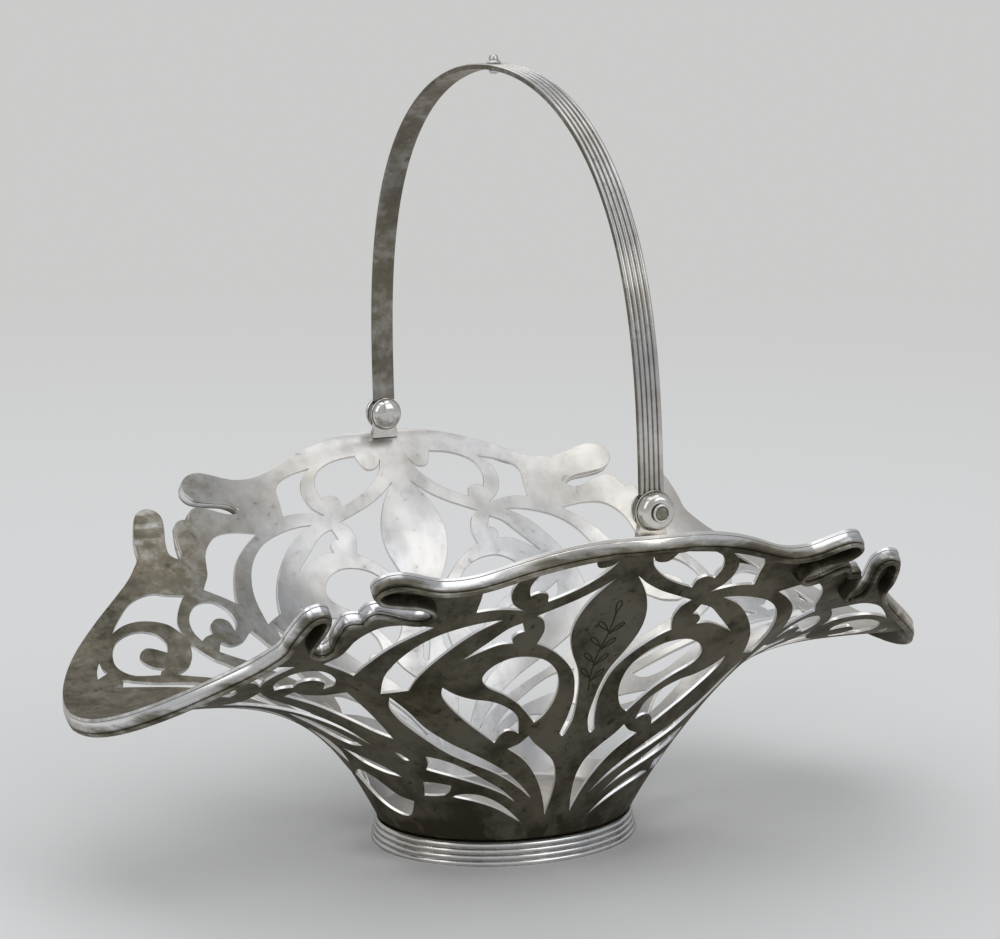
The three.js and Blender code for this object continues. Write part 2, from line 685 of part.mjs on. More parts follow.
// The ear's outline seen along the hinge axis, with its centre at the pin.
function earOutline() {
  const radius = EAR_WIDTH / 2;
  const footZ = rimTop.z - HINGE_Z;
  const outline = new THREE.Shape();
  outline.moveTo(radius, 0);
  outline.absarc(0, 0, radius, 0, Math.PI);
  outline.lineTo(-radius, footZ + EAR_FOOT_HEIGHT);
  outline.lineTo(-EAR_FOOT_WIDTH / 2, footZ);
  outline.lineTo(-EAR_FOOT_WIDTH / 2, footZ - BOSS_DIAMETER / 2);
  outline.lineTo(EAR_FOOT_WIDTH / 2, footZ - BOSS_DIAMETER / 2);
  outline.lineTo(EAR_FOOT_WIDTH / 2, footZ);
  outline.lineTo(radius, footZ + EAR_FOOT_HEIGHT);
  return outline;
}

function hingeEar() {
  const plate = new THREE.ExtrudeGeometry(earOutline(), {
    depth: EAR_THICKNESS, bevelEnabled: false, curveSegments: ROUND_SIDES / 2,
  });
  plate.rotateX(Math.PI / 2).translate(0, EAR_OUTER_Y, HINGE_Z);
  const hole = rodAlongY(PIN_DIAMETER + 2 * PIVOT_CLEARANCE, CAP_BACK_Y, BOSS_BACK_Y);
  hole.translate(0, 0, HINGE_Z);
  return toGeometry(toSolid(plate).subtract(toSolid(hole)).subtract(toSolid(rimBlock())));
}

function hingeCap() {
  const button = domedButton(CAP_DIAMETER, CAP_DEPTH);
  const bored = withoutPinHole(button, -HOLE_OVERRUN, PIN_REACH_IN_CAP + SEAT_GAP);
  return bored.rotateX(Math.PI).translate(0, CAP_BACK_Y, HINGE_Z);
}

function hingePin() {
  const head = PIN_HEAD_DIAMETER / 2;
  const shank = PIN_DIAMETER / 2;
  const end = PIN_HEAD_Y + PIN_HEAD_DEPTH;
  return turnedAlongY([
    [0, CAP_BACK_Y - PIN_REACH_IN_CAP], [shank, CAP_BACK_Y - PIN_REACH_IN_CAP],
    [shank, PIN_HEAD_Y], [head, PIN_HEAD_Y], [head, PIN_HEAD_Y + PIN_HEAD_DEPTH / 2],
    [head - PIN_HEAD_DEPTH / 2, end], [0, end],
  ]).translate(0, 0, HINGE_Z);
}

function handleBoss() {
  const button = domedButton(BOSS_DIAMETER, BOSS_DEPTH);
  return withoutPinHole(button, -HOLE_OVERRUN, BOSS_DEPTH + HOLE_OVERRUN)
    .translate(0, BOSS_BACK_Y, 0);
}

// The same piece for the hinge on the other side.
const turnedRound = (geometry) => geometry.clone().rotateZ(Math.PI);

function addHinges() {
  const pieces = { hinge_ear: hingeEar(), hinge_cap: hingeCap(), hinge_pin: hingePin() };
  for (const [name, geometry] of Object.entries(pieces)) {
    addPiece(basket, `${name}_back`, geometry, TONED_SILVER);
    addPiece(basket, `${name}_front`, turnedRound(geometry), TONED_SILVER);
  }
}

// Handle, built with its hinge axis through the origin.

// The outside line of the arch, from the front end over the top to the back end.
function archLine() {
  const span = EAR_OUTER_Y;
  const start = EAR_WIDTH / 2 + BAND_END_CLEARANCE;
  const lowest = Math.asin((start / HANDLE_RISE) ** (HANDLE_TOP_POWER / 2));
  const knots = [];
  for (let i = 0; i <= ARCH_KNOTS; i += 1) {
    const angle = THREE.MathUtils.lerp(Math.PI - lowest, lowest, i / ARCH_KNOTS);
    const across = Math.cos(angle);
    knots.push(new THREE.Vector3(
      0,
      span * Math.sign(across) * Math.abs(across) ** (2 / HANDLE_SIDE_POWER),
      HANDLE_RISE * Math.sin(angle) ** (2 / HANDLE_TOP_POWER),
    ));
  }
  return new THREE.CatmullRomCurve3(knots);
}

// Flat inside, reeded outside. x runs across the band, y outward from its outside line.
function bandSection() {
  const half = BAND_WIDTH / 2;
  const points = [[-half, -BAND_THICKNESS], [half, -BAND_THICKNESS], [half, -BAND_REED_DEPTH]];
  for (let reed = 0; reed < BAND_REEDS; reed += 1) {
    const crown = half - (reed + 0.5) * BAND_WIDTH / BAND_REEDS;
    const groove = half - (reed + 1) * BAND_WIDTH / BAND_REEDS;
    points.push([crown, 0], [groove, -BAND_REED_DEPTH]);
  }
  return points.map(([x, y]) => new THREE.Vector2(x, y));
}

function handleBand() {
  const line = archLine();
  const section = bandSection();
  const rings = [];
  for (let step = 0; step <= BAND_STEPS; step += 1) {
    const place = line.getPointAt(step / BAND_STEPS);
    const along = line.getTangentAt(step / BAND_STEPS);
    const outward = new THREE.Vector3(0, -along.z, along.y);
    rings.push(section.map(({ x, y }) => (
      place.clone().addScaledVector(outward, y).add(new THREE.Vector3(x, 0, 0))
    )));
  }
  const hole = rodAlongY(STUD_SHANK_DIAMETER + 2 * SEAT_GAP, -BAND_THICKNESS - HOLE_OVERRUN,
    HOLE_OVERRUN);
  hole.rotateX(Math.PI / 2).translate(0, 0, HANDLE_RISE);
  return toGeometry(toSolid(loft(rings, section)).subtract(toSolid(hole)));
}

// A rivet through the top of the band: a domed head above and a small bead below.
function handleStud() {
  const shank = STUD_SHANK_DIAMETER / 2;
  const seat = HANDLE_RISE + SEAT_GAP;
  const underside = HANDLE_RISE - BAND_THICKNESS - SEAT_GAP;
  const bead = STUD_BEAD_PROFILE.map(([out, up]) => [
    STUD_BEAD_DIAMETER / 2 * out, underside + STUD_BEAD_HEIGHT * (up - 1),
  ]);
  const head = STUD_HEAD_PROFILE.map(([out, up]) => [
    STUD_HEAD_DIAMETER / 2 * out, seat + STUD_HEAD_HEIGHT * up,
  ]);
  return turnedAlongZ([...bead, [shank, underside], [shank, seat], ...head]);
}

function addHandle() {
  const handle = new THREE.Group();
  handle.position.z = HINGE_Z;
  handle.rotation.y = -THREE.MathUtils.degToRad(HANDLE_LEAN);
  const boss = handleBoss();
  addPiece(handle, 'handle_band', handleBand(), TONED_SILVER);
  addPiece(handle, 'handle_boss_back', boss, BRIGHT_SILVER);
  addPiece(handle, 'handle_boss_front', turnedRound(boss), BRIGHT_SILVER);
  addPiece(handle, 'handle_stud', handleStud(), BRIGHT_SILVER);
  basket.add(handle);
}

addPiece(basket, 'pierced_bowl', piercedBowl(), TONED_SILVER);
addPiece(basket, 'foot_ring', footRing(), TONED_SILVER);
addRimBorders();
addHinges();
addHandle();

export default basket;
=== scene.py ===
"""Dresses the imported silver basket: fine sheet, mouldings, handle, fittings and materials."""

import json
import math

import bpy
import numpy as np
from mathutils import Euler, Matrix, Vector
from mathutils.geometry import delaunay_2d_cdt


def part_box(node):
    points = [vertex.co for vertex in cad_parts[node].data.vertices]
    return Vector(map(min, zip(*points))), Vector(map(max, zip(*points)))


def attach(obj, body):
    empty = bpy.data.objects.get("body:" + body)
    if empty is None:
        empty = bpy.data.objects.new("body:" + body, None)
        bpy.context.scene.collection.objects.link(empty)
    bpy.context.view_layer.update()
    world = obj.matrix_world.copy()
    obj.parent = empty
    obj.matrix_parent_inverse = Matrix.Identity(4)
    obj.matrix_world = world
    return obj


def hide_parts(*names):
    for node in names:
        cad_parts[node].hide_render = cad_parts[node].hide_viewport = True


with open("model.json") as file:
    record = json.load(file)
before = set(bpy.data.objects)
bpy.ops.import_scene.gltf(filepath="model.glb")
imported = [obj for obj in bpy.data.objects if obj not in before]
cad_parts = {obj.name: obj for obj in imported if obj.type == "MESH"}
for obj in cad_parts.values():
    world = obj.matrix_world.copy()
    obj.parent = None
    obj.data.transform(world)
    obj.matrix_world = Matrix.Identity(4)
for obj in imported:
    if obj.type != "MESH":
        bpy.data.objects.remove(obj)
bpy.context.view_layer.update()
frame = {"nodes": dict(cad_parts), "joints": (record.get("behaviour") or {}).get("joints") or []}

# Lengths are in millimetres until a mesh is made.
MM = 0.001
NEARLY_ZERO = 1e-7


def box_mm(node):
    """A CAD node's lowest and highest corner, in millimetres."""
    low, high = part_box(node)
    return np.array(low) / MM, np.array(high) / MM


foot_high = box_mm("foot_ring")[1]
ear_high = box_mm("hinge_ear_back")[1]
boss_low, boss_high = box_mm("handle_boss_back")
pin_low, pin_high = box_mm("hinge_pin_back")
cap_low, cap_high = box_mm("hinge_cap_back")
hinge_z = frame["joints"][0]["pos_m"][2] / MM

# Camera, solved from the photograph's hinges, foot and rim
CAMERA_AZIMUTH = -24.857
CAMERA_ELEVATION = 9.918
CAMERA_DISTANCE = 827.161
CAMERA_ACROSS = -1.244
CAMERA_UP = 106.572
FOCAL_PER_FRAME_WIDTH = 2.797413
SENSOR_WIDTH = 36.0
CAMERA_CLIP = (0.01, 30)

# Bowl
SHEET = 1.1
FOOT_SPREAD = 2.1
SEAT_GAP = 0.3
BOWL_LENGTH = 263.0
BOWL_WIDTH = 188.0
SIDE_RIM_HEIGHT = 105.4
END_RIM_HEIGHT = 49.8
RIM_FULLNESS = 2.35
RIM_DROP_POWER = 2.41
SIDE_FLARE = 1.5
CORNER_FLARE = 2.0
END_FLARE = 4.5
WALL_STEP_EVENNESS = 0.55
CORNER_TURN_START = 0.7
CORNER_TURN_UP = 72.0
CORNER_TURN_IN = 51.0
CORNER_TURN_DEGREES = 36.0
CORNER_TURN_SPREAD = 14.0
FOOT_TOP = foot_high[2]
WALL_FOOT_X = foot_high[0] - FOOT_SPREAD
WALL_FOOT_Y = foot_high[1] - FOOT_SPREAD
WALL_FOOT_Z = FOOT_TOP + SEAT_GAP + SHEET
EDGE_ROUNDING = 0.22
# The bowl's mesh
OUTLINE_STEP = 0.7
SHARPEST_CORNER = 0.55
GRID_DEGREES = 1.25
GRID_ROWS = 56
GRID_TOP = 1.06
GRID_ROOM = 0.8
SEAM_ROOM = 0.008
# About how many millimetres one degree round and the whole way up are.
FLAT_SCALE = np.array([1.3, 110.0])
SEAM_WIDTH = 1e-4
POINTS_AT_ONCE = 4000
SHARP_DEGREES = 38
# The floor's rings under and inside: inset from the wall's foot, rise, how level they lie.
FLOOR_RINGS = (
    (1, ((0.1, -0.75, 0.6), (0.7, -1.08, 0.95), (1.6, -SHEET, 1), (8, -SHEET, 1))),
    (0, ((1.0, 0.12, 0.8), (2.0, 0.0, 0.97), (3.2, 0.0, 1), (9, 0.0, 1))),
)
FLOOR_INNER_SHARES = (0.45, 0.65, 0.82, 0.93)

# Piercing of one quarter of the wall, from the middle of a long side (0 degrees)
# to the middle of an end (90 degrees). A point is (degrees round, share of the way up).
# An opening is a ring of smooth runs, and a sharp corner stands where two runs meet.
# A run ends on the first point of the next run.
SIDE_OPENINGS = {
    "leaf_gap": [
        [(1.7, 0.803), (4, 0.775), (7, 0.752), (10.3, 0.738)],
        [(13.6, 0.728), (12.4, 0.708), (12.1, 0.675)],
        [(13.2, 0.642), (11, 0.62), (8.4, 0.588), (6.1, 0.555), (4.5, 0.525), (3.6, 0.49),
         (3.2, 0.448), (3.8, 0.398)],
        [(5, 0.356), (4.2, 0.345)],
        [(3.4, 0.351), (2.1, 0.393), (2.2, 0.447), (2.7, 0.495), (3.7, 0.535), (5.7, 0.585),
         (6.8, 0.635), (6.5, 0.685), (4.7, 0.742)],
    ],
    "lobe_window": [
        [(6.2, 0.897), (9, 0.895), (11.5, 0.885), (13.6, 0.865), (14.9, 0.831)],
        [(14.9, 0.797), (13.5, 0.801), (12.2, 0.788)],
        [(12.1, 0.764), (9.5, 0.773), (6.8, 0.79), (4.6, 0.815), (3.2, 0.842)],
        [(2.4, 0.874), (3.1, 0.855), (4.2, 0.847), (5.5, 0.854)],
    ],
    "teardrop": [
        [(14.2, 0.887), (17, 0.885), (19.6, 0.876), (21.2, 0.857), (21.9, 0.826)],
        [(22.8, 0.79), (20.6, 0.785), (18.5, 0.775)],
        [(15.9, 0.756), (17.4, 0.785), (17.6, 0.824), (16.5, 0.859)],
    ],
    "curl_window": [
        [(15.9, 0.718), (18.3, 0.712), (21.5, 0.688)],
        [(26.3, 0.652), (22.5, 0.666), (19.8, 0.671)],
        [(17.5, 0.664), (17.6, 0.679), (16.7, 0.689)],
        [(15.5, 0.69)],
    ],
    "arch_crescent": [
        [(19, 0.745), (22, 0.753), (25.5, 0.754), (29.1, 0.746), (33, 0.721), (37, 0.678),
         (40.8, 0.622)],
        [(44, 0.552), (40.5, 0.562)],
        [(37.6, 0.57), (35, 0.611), (31.5, 0.655), (27, 0.7), (23, 0.73)],
    ],
    "eye": [
        [(12.4, 0.407), (10.2, 0.421), (8.2, 0.455), (7.5, 0.498), (8.4, 0.542), (11.2, 0.585),
         (14.8, 0.611), (18.2, 0.62), (21.4, 0.609), (23.3, 0.583), (22.6, 0.552),
         (19.5, 0.517), (16.3, 0.475)],
    ],
    "tendril_window": [
        [(31, 0.575), (29, 0.548), (26, 0.525), (22.3, 0.506), (19, 0.476), (16.4, 0.435)],
        [(16.2, 0.385), (17.6, 0.398), (19.4, 0.402), (21, 0.392)],
        [(22.3, 0.372), (25, 0.409), (28, 0.453), (30.6, 0.505), (31.6, 0.545)],
    ],
    "long_crescent": [
        [(42.5, 0.54), (44.2, 0.497), (43.6, 0.449), (40.3, 0.401), (35, 0.35), (29, 0.311),
         (23, 0.27), (16.5, 0.21)],
        [(10.7, 0.147), (15.5, 0.215), (21.5, 0.285), (28, 0.344), (33.5, 0.387), (38, 0.435),
         (40.2, 0.489)],
    ],
    "second_crescent": [
        [(41.5, 0.323), (37, 0.32), (32, 0.298), (26.5, 0.253), (21, 0.202)],
        [(16, 0.14), (21, 0.188), (27.5, 0.229), (35, 0.258)],
        [(43.5, 0.269), (42, 0.291)],
    ],
    "third_crescent": [
        [(38, 0.178), (35, 0.192), (31, 0.196), (26.5, 0.183), (21, 0.14)],
        [(14, 0.06), (19, 0.1), (25, 0.142), (31.5, 0.169)],
    ],
    "vase_window": [
        [(13.5, 0.369), (11.8, 0.341), (8.4, 0.304), (5.2, 0.265), (3.6, 0.213), (3.8, 0.152)],
        [(5.2, 0.088), (7.2, 0.155), (10.3, 0.227), (14.2, 0.291)],
        [(19, 0.344), (15.8, 0.352)],
    ],
}

CORNER_OPENINGS = {
    "bridge_window": [
        [(29.1, 0.776), (32.5, 0.8), (35.7, 0.812), (38.3, 0.804), (40.7, 0.785), (42.7, 0.759),
         (44.8, 0.736)],
        [(48.6, 0.715), (47.8, 0.682)],
        [(46.3, 0.634), (42, 0.68), (37.2, 0.728), (33.2, 0.756)],
    ],
    "four_sided_hole": [
        [(37, 0.224), (42, 0.224)],
        [(46.8, 0.214), (47.4, 0.189)],
        [(49, 0.158), (44.5, 0.168)],
        [(40.5, 0.18), (38.2, 0.2)],
    ],
    "trunk_slot": [
        [(51.8, 0.307), (49.8, 0.305)],
        [(47.6, 0.289), (49.8, 0.285)],
    ],
}

END_OPENINGS = {
    "end_teardrop": [
        [(64.5, 0.875), (60.6, 0.868), (56.9, 0.855), (54.5, 0.822), (53.7, 0.78)],
        [(52.5, 0.745), (56, 0.739), (60, 0.727)],
        [(63, 0.706), (61.1, 0.75), (61.1, 0.81), (62.4, 0.852)],
    ],
    "upper_curl_window": [
        [(68.9, 0.736), (66.2, 0.741), (64, 0.775), (63.9, 0.824), (66.2, 0.859), (69.8, 0.866),
         (73.6, 0.854), (76.2, 0.816)],
        [(76.2, 0.754), (75.2, 0.753)],
        [(74, 0.742), (73.2, 0.778), (70.6, 0.803), (68, 0.787)],
    ],
    "lower_curl_window": [
        [(55.6, 0.584), (52.3, 0.597), (50.3, 0.633), (50.6, 0.678), (53.6, 0.705), (58, 0.703),
         (61.6, 0.68)],
        [(63.6, 0.652), (61.8, 0.645)],
        [(60.3, 0.631), (57.8, 0.646), (54.8, 0.641), (53.6, 0.614)],
    ],
    "upper_end_crescent": [
        [(65.4, 0.68), (69.2, 0.672), (73, 0.682)],
        [(76, 0.715), (76.2, 0.65), (75.2, 0.545), (71.5, 0.447), (66, 0.369)],
        [(59.5, 0.311), (64.6, 0.38), (68.2, 0.444), (69.5, 0.53)],
        [(68.8, 0.61), (67.2, 0.647)],
    ],
    "lower_end_crescent": [
        [(65.5, 0.6)],
        [(62, 0.605), (61.4, 0.573), (57.5, 0.551)],
        [(51.5, 0.556), (51, 0.48)],
        [(49.2, 0.363), (55.5, 0.385), (61.5, 0.448), (64.9, 0.54)],
    ],
    "lip_notch": [
        [(76.8, 0.902), (74, 0.901)],
        [(71.4, 0.896), (73.5, 0.889)],
        [(75, 0.878)],
    ],
    "end_leaf_gap": [
        [(77.3, 0.85), (78.9, 0.848)],
        [(79.9, 0.872), (80.6, 0.79), (81.3, 0.68), (83, 0.57), (84.8, 0.48)],
        [(86.6, 0.382), (82, 0.453), (79.3, 0.545), (78.8, 0.65), (78.9, 0.77)],
    ],
    "end_inner_crescent": [
        [(64, 0.303), (69.5, 0.362), (73.6, 0.432)],
        [(76, 0.5), (77.3, 0.438), (75.4, 0.35), (70, 0.305)],
    ],
    "end_slot": [
        [(55, 0.207), (61, 0.23), (69, 0.254)],
        [(77, 0.287), (71.5, 0.231), (63, 0.207)],
    ],
    "end_base_window": [
        [(55.5, 0.122), (63, 0.13), (71, 0.173), (79, 0.192)],
        [(87.5, 0.16), (81, 0.097), (72, 0.063), (62, 0.06)],
    ],
    "end_stem_window": [
        [(84.5, 0.388), (86.6, 0.322), (85.7, 0.254)],
        [(83, 0.209), (79.9, 0.274), (81, 0.352)],
    ],
}

# Edge of the same quarter, in the same measure, in two smooth runs that meet in the sharp
# dip between the two small corner lobes.
EDGE_TO_DIP = [
    (0, 1.012), (5, 0.998), (10, 0.97), (15, 0.942), (19.9, 0.916), (23.1, 0.91), (25.9, 0.919),
    (27.6, 0.935), (29.2, 0.96), (30.7, 0.982), (32.2, 0.989), (33.7, 0.981), (34.7, 0.96),
    (34.7, 0.932), (33.8, 0.91), (32, 0.89), (30.2, 0.874), (29.2, 0.857), (29.1, 0.845),
    (30.3, 0.841), (31.9, 0.854), (33.4, 0.877), (34.9, 0.899), (36.2, 0.902), (37.2, 0.893),
    (37.7, 0.885),
]
EDGE_FROM_DIP = [
    (37.7, 0.885), (38.7, 0.896), (39.7, 0.897), (40.4, 0.886), (41.4, 0.869), (42.8, 0.841),
    (43.6, 0.825), (44.9, 0.819), (45.2, 0.834), (44.9, 0.852), (43.2, 0.881), (41.6, 0.906),
    (40.4, 0.932), (40.1, 0.958), (40.5, 0.982), (41.6, 0.994), (42.8, 0.985), (44.2, 0.965),
    (45.9, 0.939), (47.8, 0.908), (50, 0.896), (53, 0.891), (57, 0.9), (62, 0.92), (70, 0.954),
    (78, 0.978), (84, 0.989), (90, 0.995),
]
# Which of these points are the bottoms of the notches, where two lengths of moulding meet.
SIDE_NOTCH = 18
END_NOTCH = 6


# Wall surface, for arrays of angles and heights

def unit(vectors):
    return vectors / np.linalg.norm(vectors, axis=-1, keepdims=True)


def corner_turn(across, along, height):
    """How much the wall turns up and in here, which it does near the rim at the corners."""
    off = (np.degrees(np.arctan2(across, along)) - CORNER_TURN_DEGREES) / CORNER_TURN_SPREAD
    return np.exp(-off ** 2) * np.maximum(0, height - CORNER_TURN_START) ** 2


def wall_middle(degrees, height):
    angle = np.radians(degrees)
    sine, cosine = np.sin(angle), np.cos(angle)
    across, along = np.abs(sine), np.abs(cosine)
    reach = (across ** RIM_FULLNESS + along ** RIM_FULLNESS) ** (-1 / RIM_FULLNESS)
    drop = (SIDE_RIM_HEIGHT - END_RIM_HEIGHT) * across ** RIM_DROP_POWER
    share = sine ** 2
    flare = (SIDE_FLARE * (1 - share) * (1 - 2 * share)
             + CORNER_FLARE * 4 * share * (1 - share)
             + END_FLARE * share * (2 * share - 1))
    out = height * (WALL_STEP_EVENNESS + (1 - WALL_STEP_EVENNESS) * height)
    up = 1 - np.sign(1 - out) * np.abs(1 - out) ** flare
    x = (1 - out) * WALL_FOOT_X * sine + out * BOWL_LENGTH / 2 * sine * reach
    y = (1 - out) * WALL_FOOT_Y * cosine + out * BOWL_WIDTH / 2 * cosine * reach
    z = WALL_FOOT_Z + (SIDE_RIM_HEIGHT - drop - WALL_FOOT_Z) * up
    turn = corner_turn(across, along, height)
    inward = 1 - CORNER_TURN_IN * turn / np.hypot(x, y)
    return np.stack([x * inward, y * inward, z + CORNER_TURN_UP * turn], axis=-1)


def wall_slopes(degrees, height):
    """The wall's change for a degree round and for a whole step up, and its outward normal."""
    step = 0.001
    around = (wall_middle(degrees + step, height) - wall_middle(degrees - step, height)) / (2 * step)
    rise = (wall_middle(degrees, height + step) - wall_middle(degrees, height - step)) / (2 * step)
    return around, rise, unit(np.cross(rise, around))


def wall_point(degrees, height, offset):
    return wall_middle(degrees, height) + wall_slopes(degrees, height)[2] * offset


# Smooth lines on the wall

def smooth_run(points, step=OUTLINE_STEP):
    """Points close together on a smooth line through the given points."""
    knots = np.array(points, float)
    padded = np.vstack([knots[:1], knots, knots[-1:]])
    line = []
    for p0, p1, p2, p3 in zip(padded, padded[1:], padded[2:], padded[3:]):
        ends = wall_middle(*np.stack([p1, p2], axis=1))
        count = max(2, math.ceil(np.linalg.norm(ends[1] - ends[0]) / step))
        t = np.arange(count)[:, None] / count
        slope1, slope2 = (p2 - p0) / 2, (p3 - p1) / 2
        if len(knots) == 2:
            slope1 = slope2 = p2 - p1
        line.append((2 * p1 - 2 * p2 + slope1 + slope2) * t ** 3
                    + (3 * p2 - 3 * p1 - 2 * slope1 - slope2) * t ** 2
                    + slope1 * t + p1)
    return np.vstack(line + [knots[-1:]])


def opening_outline(runs):
    return np.vstack([smooth_run(run + following[:1])[:-1]
                      for run, following in zip(runs, runs[1:] + runs[:1])])


def edge_line(step=OUTLINE_STEP):
    return np.vstack([smooth_run(EDGE_TO_DIP, step), smooth_run(EDGE_FROM_DIP, step)[1:]])


def nearest_index(line, point):
    return int(np.argmin(np.abs(line - np.array(point)).sum(axis=1)))


def into_material(line, closed):
    """For each point of a line on the wall, the step in (degrees, height) that moves the line
    a millimetre to the left of its direction, and the direction of that step in space."""
    here, mode = np.arange(len(line)), "wrap" if closed else "clip"
    before, after = (line.take(here + step, axis=0, mode=mode) for step in (-1, 1))
    around, rise, normal = wall_slopes(*line.T)

    def sideways(move):
        along = around * move[:, :1] + rise * move[:, 1:]
        length = np.linalg.norm(along, axis=1, keepdims=True)
        left = np.cross(normal, along / np.maximum(length, NEARLY_ZERO))
        return left, length[:, 0] > NEARLY_ZERO

    first, has_first = sideways(line - before)
    second, has_second = sideways(after - line)
    first[~has_first] = second[~has_first]
    second[~has_second] = first[~has_second]
    middle = unit(first + second + NEARLY_ZERO)
    spread = np.clip((middle * first).sum(axis=1), SHARPEST_CORNER, 1)
    space = middle / spread[:, None]
    basis = np.stack([around, rise], axis=-1)
    flat = np.linalg.pinv(basis) @ space[:, :, None]
    return flat[:, :, 0], middle


# Mesh helpers

def add_object(name, data):
    obj = bpy.data.objects.new(name, data)
    bpy.context.scene.collection.objects.link(obj)
    return obj


def make_object(name, vertices, faces, normals=None):
    """A smooth mesh object from points in millimetres."""
    mesh = bpy.data.meshes.new(name)
    mesh.from_pydata((np.asarray(vertices) * MM).tolist(), [], [list(map(int, f)) for f in faces])
    mesh.shade_smooth()
    if normals is None:
        mesh.set_sharp_from_angle(angle=math.radians(SHARP_DEGREES))
    else:
        mesh.normals_split_custom_set_from_vertices(np.asarray(normals).tolist())
    return add_object(name, mesh)


def set_attribute(obj, name, values):
    layer = obj.data.attributes.new(name, "FLOAT", "POINT")
    layer.data.foreach_set("value", np.asarray(values, np.float32))


def faces_between(first, second, closed=True):
    """Quads between two rows of vertex numbers."""
    quads = list(zip(first, np.roll(first, -1), np.roll(second, -1), second))
    return quads if closed else quads[:-1]


def facing(vertices, normals, faces):
    """The faces, each turned to agree with its vertices' normals."""
    agreed = []
    for face in faces:
        a, b, c = (vertices[i] for i in face[:3])
        flat = np.cross(c - a, vertices[face[-1]] - b)
        agreed.append(face if flat @ sum(normals[i] for i in face) > 0 else face[::-1])
    return agreed


# Pierced bowl

def inside_polygons(points, polygons):
    """Whether each point lies inside an odd number of the closed polygons."""
    inside = np.zeros(len(points), bool)
    for polygon in polygons:
        x0, y0 = polygon.T
        x1, y1 = np.roll(x0, -1), np.roll(y0, -1)
        for low in range(0, len(points), POINTS_AT_ONCE):
            some = slice(low, low + POINTS_AT_ONCE)
            px, py = points[some, :1], points[some, 1:]
            crosses = (y0 > py) != (y1 > py)
            rise = np.where(y1 == y0, 1, y1 - y0)
            left = px < x0 + (py - y0) * (x1 - x0) / rise
            inside[some] ^= (np.sum(crosses & left, axis=1) % 2).astype(bool)
    return inside


def signed_area(line):
    x, y = line.T
    return 0.5 * np.sum(x * np.roll(y, -1) - np.roll(x, -1) * y)


def quarter_outlines():
    """The openings and the edge, with the material on their left as seen from outside."""
    openings = {**SIDE_OPENINGS, **CORNER_OPENINGS, **END_OPENINGS}
    lines = [opening_outline(runs) for runs in openings.values()]
    return [line if signed_area(line) > 0 else line[::-1] for line in lines], edge_line()


def triangulated_quarter(inset_openings, inset_edge):
    """Triangles of the quarter in (degrees, height), and where each inset point went."""
    grid_a = np.arange(0, 90 + GRID_DEGREES / 2, GRID_DEGREES)
    grid_h = np.linspace(0, GRID_TOP, GRID_ROWS)
    start_top, end_top = inset_edge[[0, -1], 1] - SEAM_ROOM
    below_end = [(90.0, h) for h in grid_h[::-1] if 0 < h < end_top]
    bottom = [(a, 0.0) for a in grid_a[::-1]]
    below_start = [(0.0, h) for h in grid_h if 0 < h < start_top]
    border = np.vstack([inset_edge, below_end, bottom, below_start])
    rings = [*inset_openings, border]
    fixed = np.vstack(rings)
    edges, start = [], 0
    for line in rings:
        count = len(line)
        edges += [(start + i, start + (i + 1) % count) for i in range(count)]
        start += count
    grid = np.array([(a, h) for a in grid_a[1:-1] for h in grid_h[1:]])
    grid = grid[inside_polygons(grid, rings)]
    room = np.array([
        np.min(np.sum(((fixed - point) * FLAT_SCALE) ** 2, axis=1)) for point in grid
    ])
    grid = grid[room > GRID_ROOM ** 2]
    points = [Vector(p) for p in (np.vstack([fixed, grid]) * FLAT_SCALE).tolist()]
    result = delaunay_2d_cdt(points, edges, [], 0, NEARLY_ZERO)
    flat = np.array([v[:] for v in result[0]]) / FLAT_SCALE
    triangles = np.array(result[2])
    solid = inside_polygons(flat[triangles].mean(axis=1), rings)
    place = {given: number for number, merged in enumerate(result[3]) for given in merged}
    return flat, triangles[solid], place


def bowl_quarter():
    """Vertices, normals, faces and shading values of one quarter of the bowl's wall."""
    openings, edge = quarter_outlines()
    lines = [(line, *into_material(line, True), True) for line in openings]
    flat, side = into_material(edge, False)
    flat[[0, -1], 0] = 0
    lines.append((edge, flat, side, False))
    insets = [line + flat * EDGE_ROUNDING for line, flat, _, _ in lines]
    plane, triangles, place = triangulated_quarter(insets[:-1], insets[-1])

    half = SHEET / 2
    normal = wall_slopes(*plane.T)[2]
    count = len(plane)
    vertices = [wall_point(*plane.T, half), wall_point(*plane.T, -half)]
    normals = [normal, -normal]
    outer = [np.ones(count), np.zeros(count)]
    heights = [plane[:, 1], plane[:, 1]]
    faces = triangles.tolist() + (triangles + count).tolist()
    total = 2 * count
    start = 0
    slant = math.sqrt(0.5)
    corner = EDGE_ROUNDING * (1 - slant)
    for line, flat, side, closed in lines:
        numbers = np.array([place[start + i] for i in range(len(line))])
        start += len(line)
        line_normal = wall_slopes(*line.T)[2]
        rows = [numbers]
        for inset, offset, lean in (
            (corner, half - corner, slant),
            (0, half - EDGE_ROUNDING, 0),
            (0, EDGE_ROUNDING - half, 0),
            (corner, corner - half, -slant),
        ):
            vertices.append(wall_point(*(line + flat * inset).T, offset))
            normals.append(unit(line_normal * lean - side * math.sqrt(1 - lean ** 2)))
            outer.append(np.full(len(line), 0.5 + offset / SHEET))
            heights.append(line[:, 1])
            rows.append(np.arange(total, total + len(line)))
            total += len(line)
        rows.append(numbers + count)
        for upper, lower in zip(rows, rows[1:]):
            faces += faces_between(upper, lower, closed)
    vertices = np.vstack(vertices)
    normals = np.vstack(normals)
    return {
        "vertices": vertices,
        "normals": normals,
        "faces": facing(vertices, normals, faces),
        "outer": np.concatenate(outer),
        "height": np.concatenate(heights),
    }


